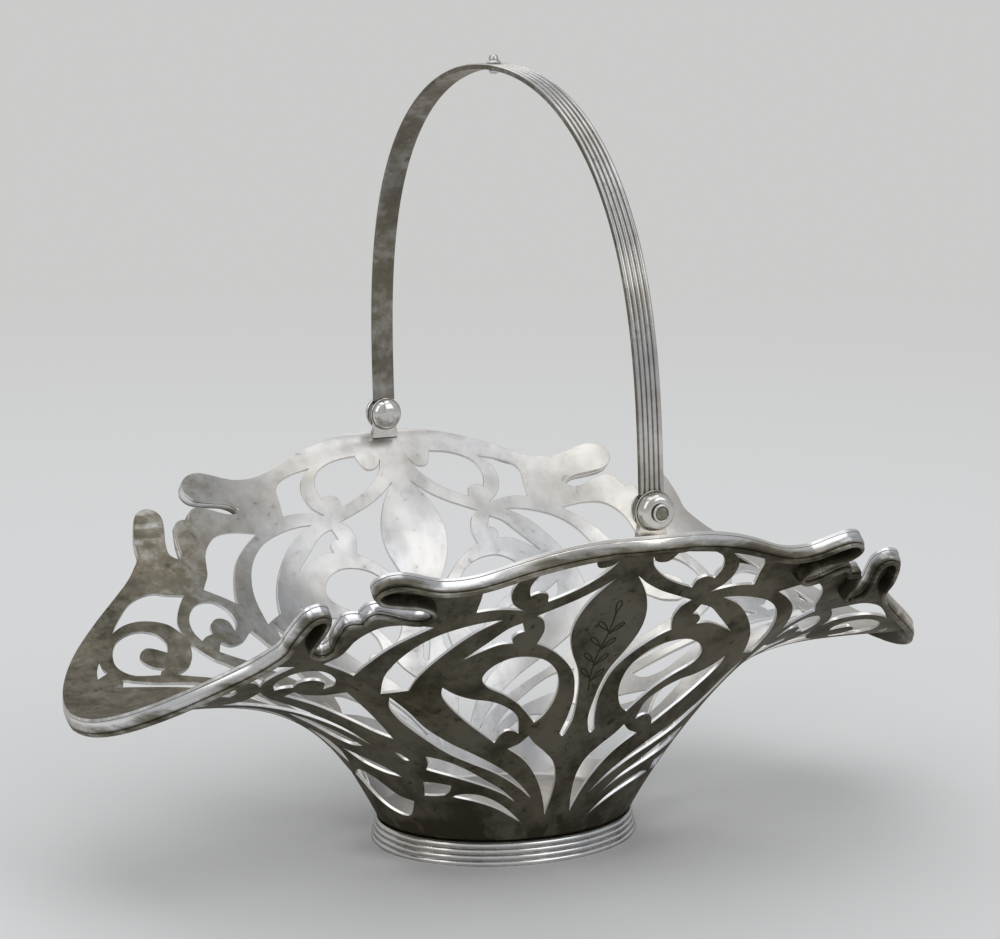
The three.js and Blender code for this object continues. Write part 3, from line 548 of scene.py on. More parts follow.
def mirrored_quarters(quarter):
    """The whole wall from one quarter, welded where the quarters meet."""
    vertices, normals, faces = [], [], []
    values = {"outer": [], "height": []}
    seen = {}
    for flip_x, flip_y in ((1, 1), (-1, 1), (1, -1), (-1, -1)):
        flip = np.array([flip_x, flip_y, 1])
        points = quarter["vertices"] * flip
        points[np.abs(points) < SEAM_WIDTH] = 0
        numbers = []
        for i, (point, normal) in enumerate(zip(points, quarter["normals"] * flip)):
            key = tuple(np.round(point, 3)) if 0 in point[:2] else len(vertices)
            if key not in seen:
                seen[key] = len(vertices)
                vertices.append(point)
                normals.append(normal)
                for name in values:
                    values[name].append(quarter[name][i])
            numbers.append(seen[key])
        order = flip_x * flip_y
        faces += [tuple(numbers[i] for i in face)[::order] for face in quarter["faces"]]
    return np.array(vertices), np.array(normals), faces, values


def add_floor(vertices, normals, faces, values):
    """Closes the wall's foot with the bowl's floor, under (way 1) and inside (way -1)."""
    at_foot = np.array(values["height"]) < NEARLY_ZERO
    outer = np.array(values["outer"])
    vertices, normals = list(vertices), list(normals)
    for is_outer, profile in FLOOR_RINGS:
        way = 1 if is_outer else -1
        ring = np.where(at_foot & (outer == is_outer))[0]
        angle = [math.atan2(vertices[i][0] / WALL_FOOT_X, vertices[i][1] / WALL_FOOT_Y)
                 for i in ring]
        previous = ring[np.argsort(angle)].tolist()
        angle = np.sort(angle)
        edge = np.stack([WALL_FOOT_X * np.sin(angle), WALL_FOOT_Y * np.cos(angle), 0 * angle], 1)
        flat_z = profile[-1][1]
        for inset, rise, upright in profile + tuple(
            (WALL_FOOT_Y * share, flat_z, 1) for share in FLOOR_INNER_SHARES
        ):
            current = [len(vertices) + i for i in range(len(ring))]
            lean = math.sqrt(1 - upright ** 2)
            vertices += list(edge * (1 - inset / WALL_FOOT_Y) + (0, 0, WALL_FOOT_Z + rise))
            normals += list(way * (unit(edge) * lean - (0, 0, upright)))
            faces += faces_between(previous, current)
            previous = current
        centre = len(vertices)
        vertices.append(np.array([0, 0, WALL_FOOT_Z + flat_z]))
        normals.append(np.array([0, 0, -way]))
        faces += [(a, b, centre) for a, b in zip(previous, previous[1:] + previous[:1])]
        added = len(vertices) - len(values["outer"])
        values["outer"] += [float(is_outer)] * added
        values["height"] += [0.0] * added
    vertices, normals = np.array(vertices), np.array(normals)
    return vertices, normals, facing(vertices, normals, faces), values


def build_bowl(material):
    vertices, normals, faces, values = add_floor(*mirrored_quarters(bowl_quarter()))
    obj = make_object("bowl_sheet", vertices, faces, normals)
    for name, numbers in values.items():
        set_attribute(obj, name, numbers)
    obj.data.materials.append(material)
    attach(obj, "basket")
    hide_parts("pierced_bowl")


# Swept and turned pieces

REED_STEPS = 9
REED_FULLNESS = 2.2
REED_DIRT_POWER = 6


def sweep(name, origins, first_axis, second_axis, profile, groove, closed=False):
    """A mesh swept along a line. The profile holds points on the two axes."""
    profile = np.asarray(profile, float)
    rings = (origins[:, None] + first_axis[:, None] * profile[:, :1]
             + second_axis[:, None] * profile[:, 1:])
    count = len(profile)
    rows = [np.arange(count) + count * i for i in range(len(origins))]
    faces = []
    for upper, lower in zip(rows, rows[1:] + (rows[:1] if closed else [])):
        faces += faces_between(upper, lower)
    if not closed:
        faces += [tuple(rows[0][::-1]), tuple(rows[-1])]
    outward = np.cross(first_axis[0], second_axis[0]) @ (origins[1] - origins[0])
    if outward * signed_area(profile) < 0:
        faces = [face[::-1] for face in faces]
    obj = make_object(name, rings.reshape(-1, 3), faces)
    set_attribute(obj, "groove", np.tile(groove, len(origins)))
    return obj


def turned(name, profile, centre, axis, segments=72, groove=None):
    """A turned piece. The profile holds (radius, distance along the axis) pairs.

    One that starts off the axis closes on itself, round a hole.
    """
    axis = np.array(axis, float)
    side = np.array([1.0, 0, 0])
    other = np.cross(axis, side)
    angles = np.arange(segments) * 2 * math.pi / segments
    vertices, faces, values, rows = [], [], [], []
    for number, (radius, along) in enumerate(profile):
        base = np.array(centre) + axis * along
        ring = angles if radius > 0 else angles[:1]
        rows.append([len(vertices) + i % len(ring) for i in range(segments)])
        vertices += [base + radius * (side * math.cos(a) + other * math.sin(a)) for a in ring]
        values += [groove[number] if groove else 0] * len(ring)
    if profile[0][0] > 0:
        rows.append(rows[0])
    for upper, lower in zip(rows, rows[1:]):
        for face in faces_between(upper, lower):
            corners = tuple(dict.fromkeys(face))
            if len(corners) > 2:
                faces.append(corners)
    obj = make_object(name, vertices, faces)
    set_attribute(obj, "groove", values)
    return obj


def reed_points(reeds):
    """For points over the reeds: how many reeds along, share of the depth, share of the dirt."""
    for reed in range(reeds):
        for step in range(REED_STEPS):
            off = -1 + 2 * (step + 0.5) / REED_STEPS
            yield reed + 0.5 + off / 2, abs(off) ** REED_FULLNESS, abs(off) ** REED_DIRT_POWER


# Rim moulding. Its profile runs out from the sheet's outside face, and in from the edge.

RIM_BAND = 3.0
RIM_WIDTH = 2.2
RIM_BEAD = 0.72
RIM_BEAD_PLACE = (3.5, 1.25)
RIM_BEAD_START = 200
RIM_BEAD_END = 425
RIM_BEAD_POINTS = 13
RIM_STEP = 0.35
RIM_LENGTHS = (
    "rim_border_back", "corner_border_back_right", "rim_border_right",
    "corner_border_front_right", "rim_border_front", "corner_border_front_left",
    "rim_border_left", "corner_border_back_left",
)
# How much film each point holds, from the bright solder line by the sheet into the groove. The
# bright top of the band is wear with a painted highlight; the rise into the groove and the bead's
# film are tarnish with painted shade under the band.
RIM_BAND_FILM_HIGHLIGHT_AND_SHADE = (0, -0.4, -0.6, -0.5, 0.05, 0.2, 0.4, 0.6, 0.9, 1, 1, 0.8)
RIM_BEAD_FILM_AND_SHADE = 0.55


def rim_profile():
    """A solder line by the sheet, a flat band with soft corners, a groove and a bead."""
    band = [
        (-0.12, 0.34), (-0.04, 0.1), (0.08, 0.03), (0.3, 0.0), (1.4, 0.0),
        (RIM_BAND - 0.7, 0.03), (RIM_BAND - 0.3, 0.16), (RIM_BAND - 0.06, 0.4),
        (RIM_BAND, 0.75), (RIM_BAND - 0.1, 1.05),
    ]
    turn = np.radians(np.linspace(RIM_BEAD_START, RIM_BEAD_END, RIM_BEAD_POINTS))
    bead = RIM_BEAD_PLACE + RIM_BEAD * np.stack([np.cos(turn), np.sin(turn)], 1)
    back = [(RIM_BAND / 2, RIM_WIDTH), (0.1, RIM_WIDTH), (-0.12, RIM_WIDTH)]
    profile = np.vstack([band, bead, back])
    # Film per point: a painted highlight at the band's top, painted shade down into the groove and
    # on the bead.
    groove = np.full(len(profile), RIM_BEAD_FILM_AND_SHADE)
    groove[:len(RIM_BAND_FILM_HIGHLIGHT_AND_SHADE)] = RIM_BAND_FILM_HIGHLIGHT_AND_SHADE
    groove[-len(back) - 1:] = 1
    return profile, groove


def wall_line_frames(line):
    """Origins on the wall's outside, its normals, and the directions in from the edge."""
    origins = wall_point(*line.T, SHEET / 2)
    normal = wall_slopes(*line.T)[2]
    return origins, normal, unit(np.cross(normal, np.gradient(origins, axis=0)))


def build_rim(material):
    """Eight lengths that meet end to end, cut from one line round the whole edge."""
    profile, groove = rim_profile()
    quarter = edge_line(RIM_STEP)
    side_end = nearest_index(quarter, EDGE_TO_DIP[SIDE_NOTCH])
    end_start = nearest_index(quarter, EDGE_FROM_DIP[END_NOTCH])
    image = (quarter * (-1, 1) + (180, 0))[::-1]
    half = np.vstack([quarter, image[1:]])
    ring = np.vstack([half[:-1], half[:-1] + (180, 0)])
    closed = np.vstack([ring[-1:] - (360, 0), ring, ring[:1] + (360, 0)])
    frames = [part[1:-1] for part in wall_line_frames(closed)]
    turn = len(ring) // 2
    cuts = [-side_end, side_end, end_start, turn - end_start]
    cuts += [cut + turn for cut in cuts] + [2 * turn - side_end]
    for node, first, last in zip(RIM_LENGTHS, cuts, cuts[1:]):
        places = np.arange(first, last + 1) % len(ring)
        pieces = [part[places] for part in frames]
        obj = sweep(node.replace("border", "moulding"), *pieces, profile, groove)
        obj.data.materials.append(material)
        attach(obj, "basket")
        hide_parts(node)


# Engraving on the near leaf: a plain leafy sprig, in millimetres across and up

SPRIG_MIDDLE = (180.0, 0.6)
SPRIG_LENGTH = 34.0
SPRIG_SWAY = 0.9
SPRIG_LEAF_LENGTH = 5.6
SPRIG_LEAF_WIDTH = 2.0
SPRIG_LEAF_LEAN = 42.0
SPRIG_PAIRS = 4
LEAF_POINTS = 37
# The stem is a row of points, on which the pairs of leaves and the last leaf stand.
STEM_POINTS = 60
STEM_TIP = 10
PAIR_START = 6
PAIR_SPACING = 10
PAIR_STAGGER = 2
# A line's section: (out from the sheet, across).
CUT_SECTION = ((-0.1, -0.2), (0.05, -0.2), (0.07, 0), (0.05, 0.2), (-0.1, 0.2))


def sprig_lines():
    share = np.linspace(0, 1, STEM_POINTS)
    stem = np.stack([SPRIG_SWAY * np.sin(2 * math.pi * share), SPRIG_LENGTH * (share - 0.5)], 1)
    lines = [stem[:-STEM_TIP]]
    turn = np.linspace(0, 2 * math.pi, LEAF_POINTS)
    almond = np.stack([SPRIG_LEAF_WIDTH / 2 * np.sin(turn) * np.sin(turn / 2) ** 2,
                       SPRIG_LEAF_LENGTH * (1 - np.cos(turn)) / 2], 1)
    places = [(PAIR_START + PAIR_SPACING * pair + PAIR_STAGGER * (way > 0), way)
              for pair in range(SPRIG_PAIRS) for way in (-1, 1)]
    for number, way in places + [(STEM_POINTS - STEM_TIP - 1, 0)]:
        lean = math.radians(SPRIG_LEAF_LEAN) * way
        spin = np.array([[math.cos(lean), -math.sin(lean)], [math.sin(lean), math.cos(lean)]])
        lines.append(almond @ spin + stem[number])
    return lines


def build_engraving(material):
    """Fine dark lines that lie on the leaf's outside face."""
    scale = np.linalg.norm(wall_slopes(*SPRIG_MIDDLE)[:2], axis=1)
    for number, line in enumerate(sprig_lines()):
        frames = wall_line_frames(np.array(SPRIG_MIDDLE) + line / scale)
        obj = sweep(f"sprig_line_{number}", *frames, CUT_SECTION, np.ones(len(CUT_SECTION)))
        obj.data.materials.append(material)
        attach(obj, "basket")


# Foot ring. Its profile holds (distance out from the wall's foot, height).

FOOT_REEDS = 4
FOOT_REED_DEPTH = 0.55
FOOT_SEGMENTS = 240
FOOT_BACK = [
    (SHEET / 2 - 0.3, FOOT_TOP), (SHEET / 2 - 2.4, FOOT_TOP), (FOOT_SPREAD - 2.5, FOOT_TOP / 2),
    (FOOT_SPREAD - 3.4, 0.2), (FOOT_SPREAD - 3.2, 0), (FOOT_SPREAD - 0.3, 0),
]
FOOT_BACK_FILM = [1, 1, 1, 1, 0, 0]


def build_foot(material):
    points, groove = [], []
    for along, depth, groove_darkening in reed_points(FOOT_REEDS):
        z = along * FOOT_TOP / FOOT_REEDS
        base = FOOT_SPREAD + (SHEET / 2 - FOOT_SPREAD) * z / FOOT_TOP
        points.append((base - FOOT_REED_DEPTH * depth, z))
        groove.append(groove_darkening)
    points += FOOT_BACK
    groove += FOOT_BACK_FILM
    angles = np.arange(FOOT_SEGMENTS) * 2 * math.pi / FOOT_SEGMENTS
    out = np.stack([np.sin(angles), np.cos(angles), 0 * angles], 1)
    up = np.tile([0.0, 0, 1], (FOOT_SEGMENTS, 1))
    origins = out * (WALL_FOOT_X, WALL_FOOT_Y, 0)
    obj = sweep("foot_reeded", origins, out, up, points, groove, closed=True)
    obj.data.materials.append(material)
    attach(obj, "basket")
    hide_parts("foot_ring")


# Hinges

BOSS_FLAT = 2.6
BOSS_FULLNESS = 0.8
CAP_FLAT = 0.8
CAP_FULLNESS = 1
DOME_STEPS = 14
FLANGE = 0.5
FLANGE_LIP = 0.15
FLANGE_FILM = (0, 0, 0, 0.3, 1)
DOME_INSET = 0.32
DOME_FOOT_FILM = 0.6
PIN_HEAD_DEPTH = 0.8
PIN_SHANK = 1.1
PIN_HOLE = 1.4
PIN_END_ROOM = 0.3


def domed(radius, depth, flat, fullness, hole):
    """A button's profile: a thin flange, a groove, and a dome with a small flat top.

    The pin's hole reaches in from the back, by the given depth or right through.
    """
    through = hole >= depth
    bore = [(PIN_HOLE, 0)] if through else [(0, hole), (PIN_HOLE, hole), (PIN_HOLE, 0)]
    points = bore + [(radius - FLANGE_LIP, 0), (radius, FLANGE_LIP),
                     (radius, FLANGE - FLANGE_LIP), (radius - FLANGE_LIP, FLANGE),
                     (radius - 2 * FLANGE_LIP, FLANGE)]
    groove = [0] * len(bore) + list(FLANGE_FILM)
    foot = radius - DOME_INSET
    for step in range(DOME_STEPS + 1):
        angle = math.pi / 2 * step / DOME_STEPS
        points.append((flat + (foot - flat) * max(0, math.cos(angle)) ** fullness,
                       FLANGE + (depth - FLANGE) * math.sin(angle) ** fullness))
        groove.append(DOME_FOOT_FILM if step == 0 else 0)
    return points + [(PIN_HOLE if through else 0, depth)], groove + [0]


def rivet(radius, depth, reach):
    """A shank, and a head with a bright raised ring round a flat, worn and browned disc."""
    points = [
        (0, -reach), (PIN_SHANK, -reach), (PIN_SHANK, 0),
        (radius - 0.1, 0), (radius, 0.1), (radius, depth * 0.55),
        (radius - 0.12, depth * 0.85), (radius - 0.3, depth), (radius - 0.5, depth),
        (radius - 0.66, depth * 0.85), (radius - 0.74, depth * 0.6), (radius - 0.82, depth * 0.6),
        (radius - 0.9, depth * 0.74), (0, depth * 0.8),
    ]
    groove = [1, 1, 1, 1, 1, 0.4, 0, 0, 0, 0.3, 1, 1, 0.55, 0.5]
    return points, groove


def build_hinges(material):
    boss_depth = boss_high[1] - boss_low[1]
    boss = domed((boss_high[2] - boss_low[2]) / 2, boss_depth, BOSS_FLAT, BOSS_FULLNESS,
                 boss_depth)
    cap = domed((cap_high[2] - cap_low[2]) / 2, cap_high[1] - cap_low[1], CAP_FLAT,
                CAP_FULLNESS, cap_high[1] - pin_low[1] + PIN_END_ROOM)
    head_y = pin_high[1] - PIN_HEAD_DEPTH
    pin = rivet((pin_high[0] - pin_low[0]) / 2, PIN_HEAD_DEPTH, head_y - pin_low[1])
    for side, way in (("back", 1), ("front", -1)):
        for name, body, node, shape, y, facing_y in (
            (f"boss_dome_{side}", "handle", f"handle_boss_{side}", boss, boss_low[1], way),
            (f"pin_rivet_{side}", "basket", f"hinge_pin_{side}", pin, head_y, way),
            (f"cap_dome_{side}", "basket", f"hinge_cap_{side}", cap, cap_high[1], -way),
        ):
            profile, groove = shape
            obj = turned(name, profile, (0, way * y, hinge_z), (0, facing_y, 0), groove=groove)
            obj.data.materials.append(material)
            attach(obj, body)
            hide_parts(node)


# Handle

HANDLE_LEAN = 1.7
HANDLE_SIDE_POWER = 2.1
HANDLE_TOP_POWER = 2.95
HANDLE_RISE = 112.6
BAND_WIDTH = 7.0
BAND_THICKNESS = 1.6
BAND_REEDS = 5
BAND_REED_DEPTH = 0.5
BAND_EDGE_DROP = 0.15
BAND_CORNER = 0.2
BAND_BACK_FILM = (0.5, 0.5, 0.45, 0.45, 0.5, 0.5)
BAND_STEPS = 260
ARCH_SAMPLES = 4001
BAND_END_CLEARANCE = 0.5
EAR_WIDTH = 7.6
# The stud: (radius, depth under the band) and (radius, height over it).
STUD_TAIL = ((0, 1.4), (0.9, 1.3), (1.35, 0.95), (1.4, 0.5), (1.1, 0.1))
STUD_HEAD = ((0.9, 0), (2.0, 0.05), (2.0, 0.4), (1.75, 0.7), (1.4, 0.85), (1.35, 1.5),
             (1.15, 2.1), (0.7, 2.41), (0, 2.49))
STUD_SEGMENTS = 40


def leaned(points):
    """Points or directions from the hinge axis, turned with the handle's lean."""
    sine, cosine = math.sin(math.radians(HANDLE_LEAN)), math.cos(math.radians(HANDLE_LEAN))
    return np.asarray(points, float) @ [[cosine, 0, sine], [0, 1, 0], [-sine, 0, cosine]]


def arch_line():
    """The outside line of the arch, evenly spaced, above the hinge axis."""
    lowest = (EAR_WIDTH / 2 + BAND_END_CLEARANCE) / HANDLE_RISE
    start = math.asin(lowest ** (HANDLE_TOP_POWER / 2))
    angle = np.linspace(math.pi - start, start, ARCH_SAMPLES)
    across = np.cos(angle)
    y = ear_high[1] * np.sign(across) * np.abs(across) ** (2 / HANDLE_SIDE_POWER)
    z = HANDLE_RISE * np.sin(angle) ** (2 / HANDLE_TOP_POWER)
    length = np.concatenate([[0], np.cumsum(np.hypot(np.diff(y), np.diff(z)))])
    even = np.linspace(0, length[-1], BAND_STEPS)
    y, z = np.interp(even, length, y), np.interp(even, length, z)
    return np.stack([np.zeros(BAND_STEPS), y, z], axis=1)


def band_profile():
    """The band's flat back with soft corners, then its reeds."""
    half = BAND_WIDTH / 2
    edge, back = -BAND_REED_DEPTH - BAND_EDGE_DROP, -BAND_THICKNESS
    points = [(-half, edge), (-half, back + BAND_CORNER), (BAND_CORNER - half, back),
              (half - BAND_CORNER, back), (half, back + BAND_CORNER), (half, edge)]
    groove = list(BAND_BACK_FILM)
    for along, depth, groove_darkening in reed_points(BAND_REEDS):
        points.append((half - along * BAND_WIDTH / BAND_REEDS, -BAND_REED_DEPTH * depth))
        groove.append(groove_darkening)
    return points, groove


def build_handle(band_material, stud_material):
    line = arch_line()
    across = np.tile([1.0, 0, 0], (len(line), 1))
    outward = unit(np.cross(across, np.gradient(line, axis=0)))
    profile, groove = band_profile()
    hinge = (0, 0, hinge_z)
    band = sweep("band_reeded", leaned(line) + hinge, leaned(across), leaned(outward),
                 profile, groove)
    band.data.materials.append(band_material)
    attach(band, "handle")
    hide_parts("handle_band")

    top = leaned((0, 0, HANDLE_RISE)) + hinge
    axis = leaned((0, 0, 1))
    tail = [(radius, -BAND_THICKNESS - depth) for radius, depth in STUD_TAIL]
    stud = turned("stud_rivet", tail + list(STUD_HEAD), top, axis, STUD_SEGMENTS)
    stud.data.materials.append(stud_material)
    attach(stud, "handle")
    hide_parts("handle_stud")


# Materials

class Shading:
    """Short calls for the nodes that a material or the world needs."""

    def __init__(self, owner):
        owner.use_nodes = True
        self.owner = owner
        self.nodes = owner.node_tree.nodes
        self.links = owner.node_tree.links
        self.place = self.node("TexCoord", {}).outputs["Object"]

    def feed(self, node, inputs):
        """Sets a node's inputs to numbers, or links them to the outputs of other nodes."""
        for key, value in inputs.items():
            if isinstance(value, bpy.types.NodeSocket):
                self.links.new(value, node.inputs[key])
            else:
                node.inputs[key].default_value = value

    def node(self, kind, inputs, **settings):
        node = self.nodes.new("ShaderNode" + kind)
        for key, value in settings.items():
            setattr(node, key, value)
        self.feed(node, inputs)
        return node

    def maths(self, kind, *values, clamp=False):
        inputs = dict(enumerate(values))
        return self.node("Math", inputs, operation=kind, use_clamp=clamp).outputs[0]

    def joined(self, kind, *values):
        """All the values added up or multiplied."""
        total = values[0]
        for value in values[1:]:
            total = self.maths(kind, total, value)
        return total

    def noise(self, per_metre, detail, stretch=(1, 1, 1), turn=(0, 0, 0), rough=0.5):
        shift = self.node("Mapping", {"Vector": self.place, "Scale": stretch,
                                      "Rotation": [math.radians(a) for a in turn]})
        return self.node("TexNoise", {
            "Vector": shift.outputs["Vector"], "Scale": per_metre, "Detail": detail,
            "Roughness": rough,
        }).outputs["Fac"]

    def spread(self, value, low, high, to_low=0.0, to_high=1.0):
        """A smooth step from one number to another while the value goes from low to high."""
        return self.node("MapRange", {
            "Value": value, "From Min": low, "From Max": high, "To Min": to_low,
            "To Max": to_high,
        }, interpolation_type="SMOOTHSTEP").outputs["Result"]

    def patches(self, per_metre, detail, edges, film=(0, 1), **look):
        """Noise with soft edges at the given values, from the least film to the most."""
        return self.spread(self.noise(per_metre, detail, **look), *edges, *film)

    def mix_shaders(self, share, first, second):
        """Shows the first shader's node, and the second by its share."""
        mix = self.node("MixShader", {"Fac": share, 1: first.outputs[0], 2: second.outputs[0]})
        output = next(node for node in self.nodes if "Surface" in node.inputs)
        self.feed(output, {"Surface": mix.outputs[0]})

    def attribute(self, key):
        return self.node("Attribute", {}, attribute_name=key).outputs["Fac"]

    def coordinate(self, axis):
        return self.node("SeparateXYZ", {0: self.place}).outputs[axis]

    def ramp(self, value, stops):
        node = self.node("ValToRGB", {"Fac": value})
        elements = node.color_ramp.elements
        while len(elements) < len(stops):
            elements.new(0.5)
        for element, (position, colour) in zip(elements, stops):
            element.position = position
            element.color = (*colour, 1)
        return node.outputs["Color"]


# How silver darkens as its film grows: bright, warm grey, brown, nearly black.
FILM_COLOURS = (
    (0.0, (0.87, 0.865, 0.85)),
    (0.3, (0.5, 0.492, 0.475)),
    (0.6, (0.2, 0.183, 0.142)),
    (1.0, (0.042, 0.036, 0.021)),
)
CLOUD_TINTS = ((0.36, (1.0, 0.975, 0.93)), (0.64, (0.94, 0.955, 1.0)))
GRAZING_TINT = (0.62, 0.59, 0.55, 1)
# What a full film and a scratch change, and the film taken from the cut edges (wear and a painted
# highlight) and from the painted highlight streaks.
FILM_METALLIC = -0.4
FILM_DULLNESS = 0.28
SCRATCH_DULLNESS = 0.12
CUT_EDGE_WEAR_AND_HIGHLIGHT = -0.6
STREAK_HIGHLIGHT = -0.17
# Depths and places in metres, and grains per metre.
SCRATCH_DEPTH = 0.00001
SHEET_WAVE_DEPTH = 0.00018
MOULDING_WAVE_DEPTH = 0.0001
WAVES_PER_METRE = 75
TINTS_PER_METRE = 22
STREAKS_PER_METRE = 85
STAINED_AND_SHADED_END = (-0.03, -0.11)
LEFT_FINGERS = (-0.078, -0.086)
FINGERS_ASIDE = (0.042, 0.052)
# Shares of the way up the wall, and of the way through the sheet from inside to outside.
FINGER_TIPS = (0.86, 0.93)
CUT_EDGE_INSIDE = (0.02, 0.15)
CUT_EDGE_OUTSIDE = (0.92, 0.8)
OUTSIDE_FILM_AND_SHADE = (0.78, 0.97)
# Where the scratches' noise starts and ends, and how noise is stretched along the rim.
SCRATCH_EDGES = (0.6, 0.85)
ALONG_THE_RIM = (0.5, 0.5, 2.6)


def finish_silver(shading, film, roughness, wave_depth):
    """Sets the film's colour and dullness, fine scratches and the waves left by the hammer."""
    film = shading.maths("ADD", film, 0.0, clamp=True)
    tints = shading.ramp(shading.noise(TINTS_PER_METRE, 3), CLOUD_TINTS)
    tinted = shading.node("VectorMath", {0: shading.ramp(film, FILM_COLOURS), 1: tints},
                          operation="MULTIPLY")
    scratches = shading.maths(
        "MAXIMUM",
        shading.patches(2600, 1, SCRATCH_EDGES, stretch=(1, 0.02, 0.03), turn=(0, 25, 40)),
        shading.patches(2300, 1, SCRATCH_EDGES, stretch=(0.02, 1, 0.03), turn=(30, -20, 0)),
    )
    dull = shading.maths("MULTIPLY_ADD", film, FILM_DULLNESS, roughness)
    scratched = shading.maths("MULTIPLY", scratches, SCRATCH_DULLNESS)
    waves = shading.node("Bump", {"Strength": 0.6, "Distance": wave_depth,
                                  "Height": shading.noise(WAVES_PER_METRE, 2)})
    marks = shading.node("Bump", {"Strength": 0.5, "Distance": SCRATCH_DEPTH,
                                  "Height": scratches, "Normal": waves.outputs["Normal"]})
    shading.feed(shading.nodes["Principled BSDF"], {
        "Base Color": tinted.outputs[0],
        "Metallic": shading.maths("MULTIPLY_ADD", film, FILM_METALLIC, 1.0),
        "Roughness": shading.maths("ADD", dull, scratched, clamp=True),
        "Specular Tint": GRAZING_TINT,
        "Normal": marks.outputs["Normal"],
    })
    return shading.owner


def painted_highlight_streaks(shading, height):
    """Painted highlights: film taken away in bright streaks across the left end's fingers, in place
    of reflections off hammered ripples.
    """
    bands = shading.node("TexWave", {"Vector": shading.place, "Scale": STREAKS_PER_METRE,
                                     "Distortion": 2.0}, bands_direction="Z")
    thin = shading.spread(bands.outputs["Fac"], 0.5, 1.0)
    near_tip = shading.spread(height, *FINGER_TIPS, 0, STREAK_HIGHLIGHT)
    at_left = shading.spread(shading.coordinate("X"), *LEFT_FINGERS)
    aside = shading.maths("ABSOLUTE", shading.coordinate("Y"))
    at_finger = shading.spread(aside, *FINGERS_ASIDE)
    return shading.joined("MULTIPLY", thin, near_tip, at_left, at_finger)


def sheet_silver():
    """Bright and cloudy inside, under a dark brown film outside that is partly tarnish and partly
    painted shade, with cut edges worn bright and partly given a painted highlight.
    """
    shading = Shading(bpy.data.materials.new("sheet_silver"))
    height = shading.attribute("height")
    clouds = shading.patches(40, 6, (0.34, 0.68), (0.06, 0.24), rough=0.65)
    spots = shading.patches(320, 2, (0.64, 0.8), (0, 0.16))
    streaks = shading.patches(180, 3, (0.4, 0.75), (0, 0.08), stretch=(1, 1, 0.16))
    blotches = shading.patches(260, 6, (0.3, 0.72), (0.46, 0.74), rough=0.7)
    # Left end: stain in blotches, darkened further as painted shade on the end's shaded inside.
    stained_and_shaded_end = shading.spread(shading.coordinate("X"), *STAINED_AND_SHADED_END)
    stain_and_shade = shading.maths("MULTIPLY", stained_and_shaded_end, blotches)
    near_floor = shading.spread(height, 0.12, 0.0, 0, 0.06)
    inside = shading.joined("ADD", clouds, spots, streaks, stain_and_shade, near_floor,
                            painted_highlight_streaks(shading, height))

    # Outside: dark brown tarnish, made darker as painted shade in place of the dark surroundings it
    # would reflect.
    dark = shading.patches(55, 7, (0.36, 0.66), (0.74, 1.0), rough=0.7)
    specks = shading.patches(340, 3, (0.6, 0.75), (0, 0.2))
    # Darker towards the bottom of the outside, in patches.
    low_darkening = shading.spread(height, 0.1, 0.0, 0, 0.3)
    low_darkening_patches = shading.maths("MULTIPLY", low_darkening, shading.patches(130, 3, (0.4, 0.6)))
    outside = shading.joined("ADD", dark, specks, low_darkening_patches)

    outer = shading.attribute("outer")
    mix = shading.node("Mix", {"Factor": shading.spread(outer, *OUTSIDE_FILM_AND_SHADE),
                               "A": inside, "B": outside})
    # The cut edges lose film: partly real wear, partly a painted highlight along the edges.
    cut_low = shading.spread(outer, *CUT_EDGE_INSIDE, 0, CUT_EDGE_WEAR_AND_HIGHLIGHT)
    cut_high = shading.spread(outer, *CUT_EDGE_OUTSIDE)
    worn_and_highlit_edge = shading.maths("MULTIPLY", cut_low, cut_high)
    film = shading.maths("ADD", mix.outputs["Result"], worn_and_highlit_edge)
    return finish_silver(shading, film, 0.28, SHEET_WAVE_DEPTH)


def moulded_silver(name, low, high, darkening_strength, roughness, stretch=(1, 1, 1)):
    """Silver whose film lies unevenly and darkens where the mesh marks it: tarnish in the hollows,
    and on the rim moulding also painted shade under the band and on the bead.
    """
    shading = Shading(bpy.data.materials.new(name))
    clouds = shading.patches(60, 5, (0.35, 0.68), (low, high), stretch=stretch, rough=0.6)
    ragged = shading.patches(420, 3, (0.3, 0.62), (0.75, 1.0))
    groove_darkening = shading.joined("MULTIPLY", shading.attribute("groove"), ragged, darkening_strength)
    specks = shading.patches(380, 2, (0.62, 0.76), (0, 0.15))
    film = shading.joined("ADD", clouds, groove_darkening, specks)
    return finish_silver(shading, film, roughness, MOULDING_WAVE_DEPTH)


# Stage

FLOOR_REACH = 60
FLOOR_COLOUR = (0.8, 0.8, 0.795, 1)
FAR_FLOOR_COLOUR = (0.6, 0.6, 0.595, 1)
STUDIO_COLOUR = (0.46, 0.47, 0.485, 1)
NEAR_FLOOR_END = 0.3
FAR_FLOOR_START = 1.5
# Each softbox: its name, place, target and size in metres, and its brightness.
SOFTBOXES = (
    ("front_box", (1.0, -1.7, 1.5), (0, 0, 0.08), (1.5, 1.5), 1.05),
    ("left_box", (-2.0, -0.6, 1.6), (0, 0, 0.08), (1.2, 1.8), 1.2),
    ("rear_box", (0.4, 2.0, 1.5), (0, 0, 0.08), (2.0, 1.0), 1.1),
    ("top_box", (0, 0, 2.4), (0, 0, 0), (2.2, 2.2), 0.9),
)


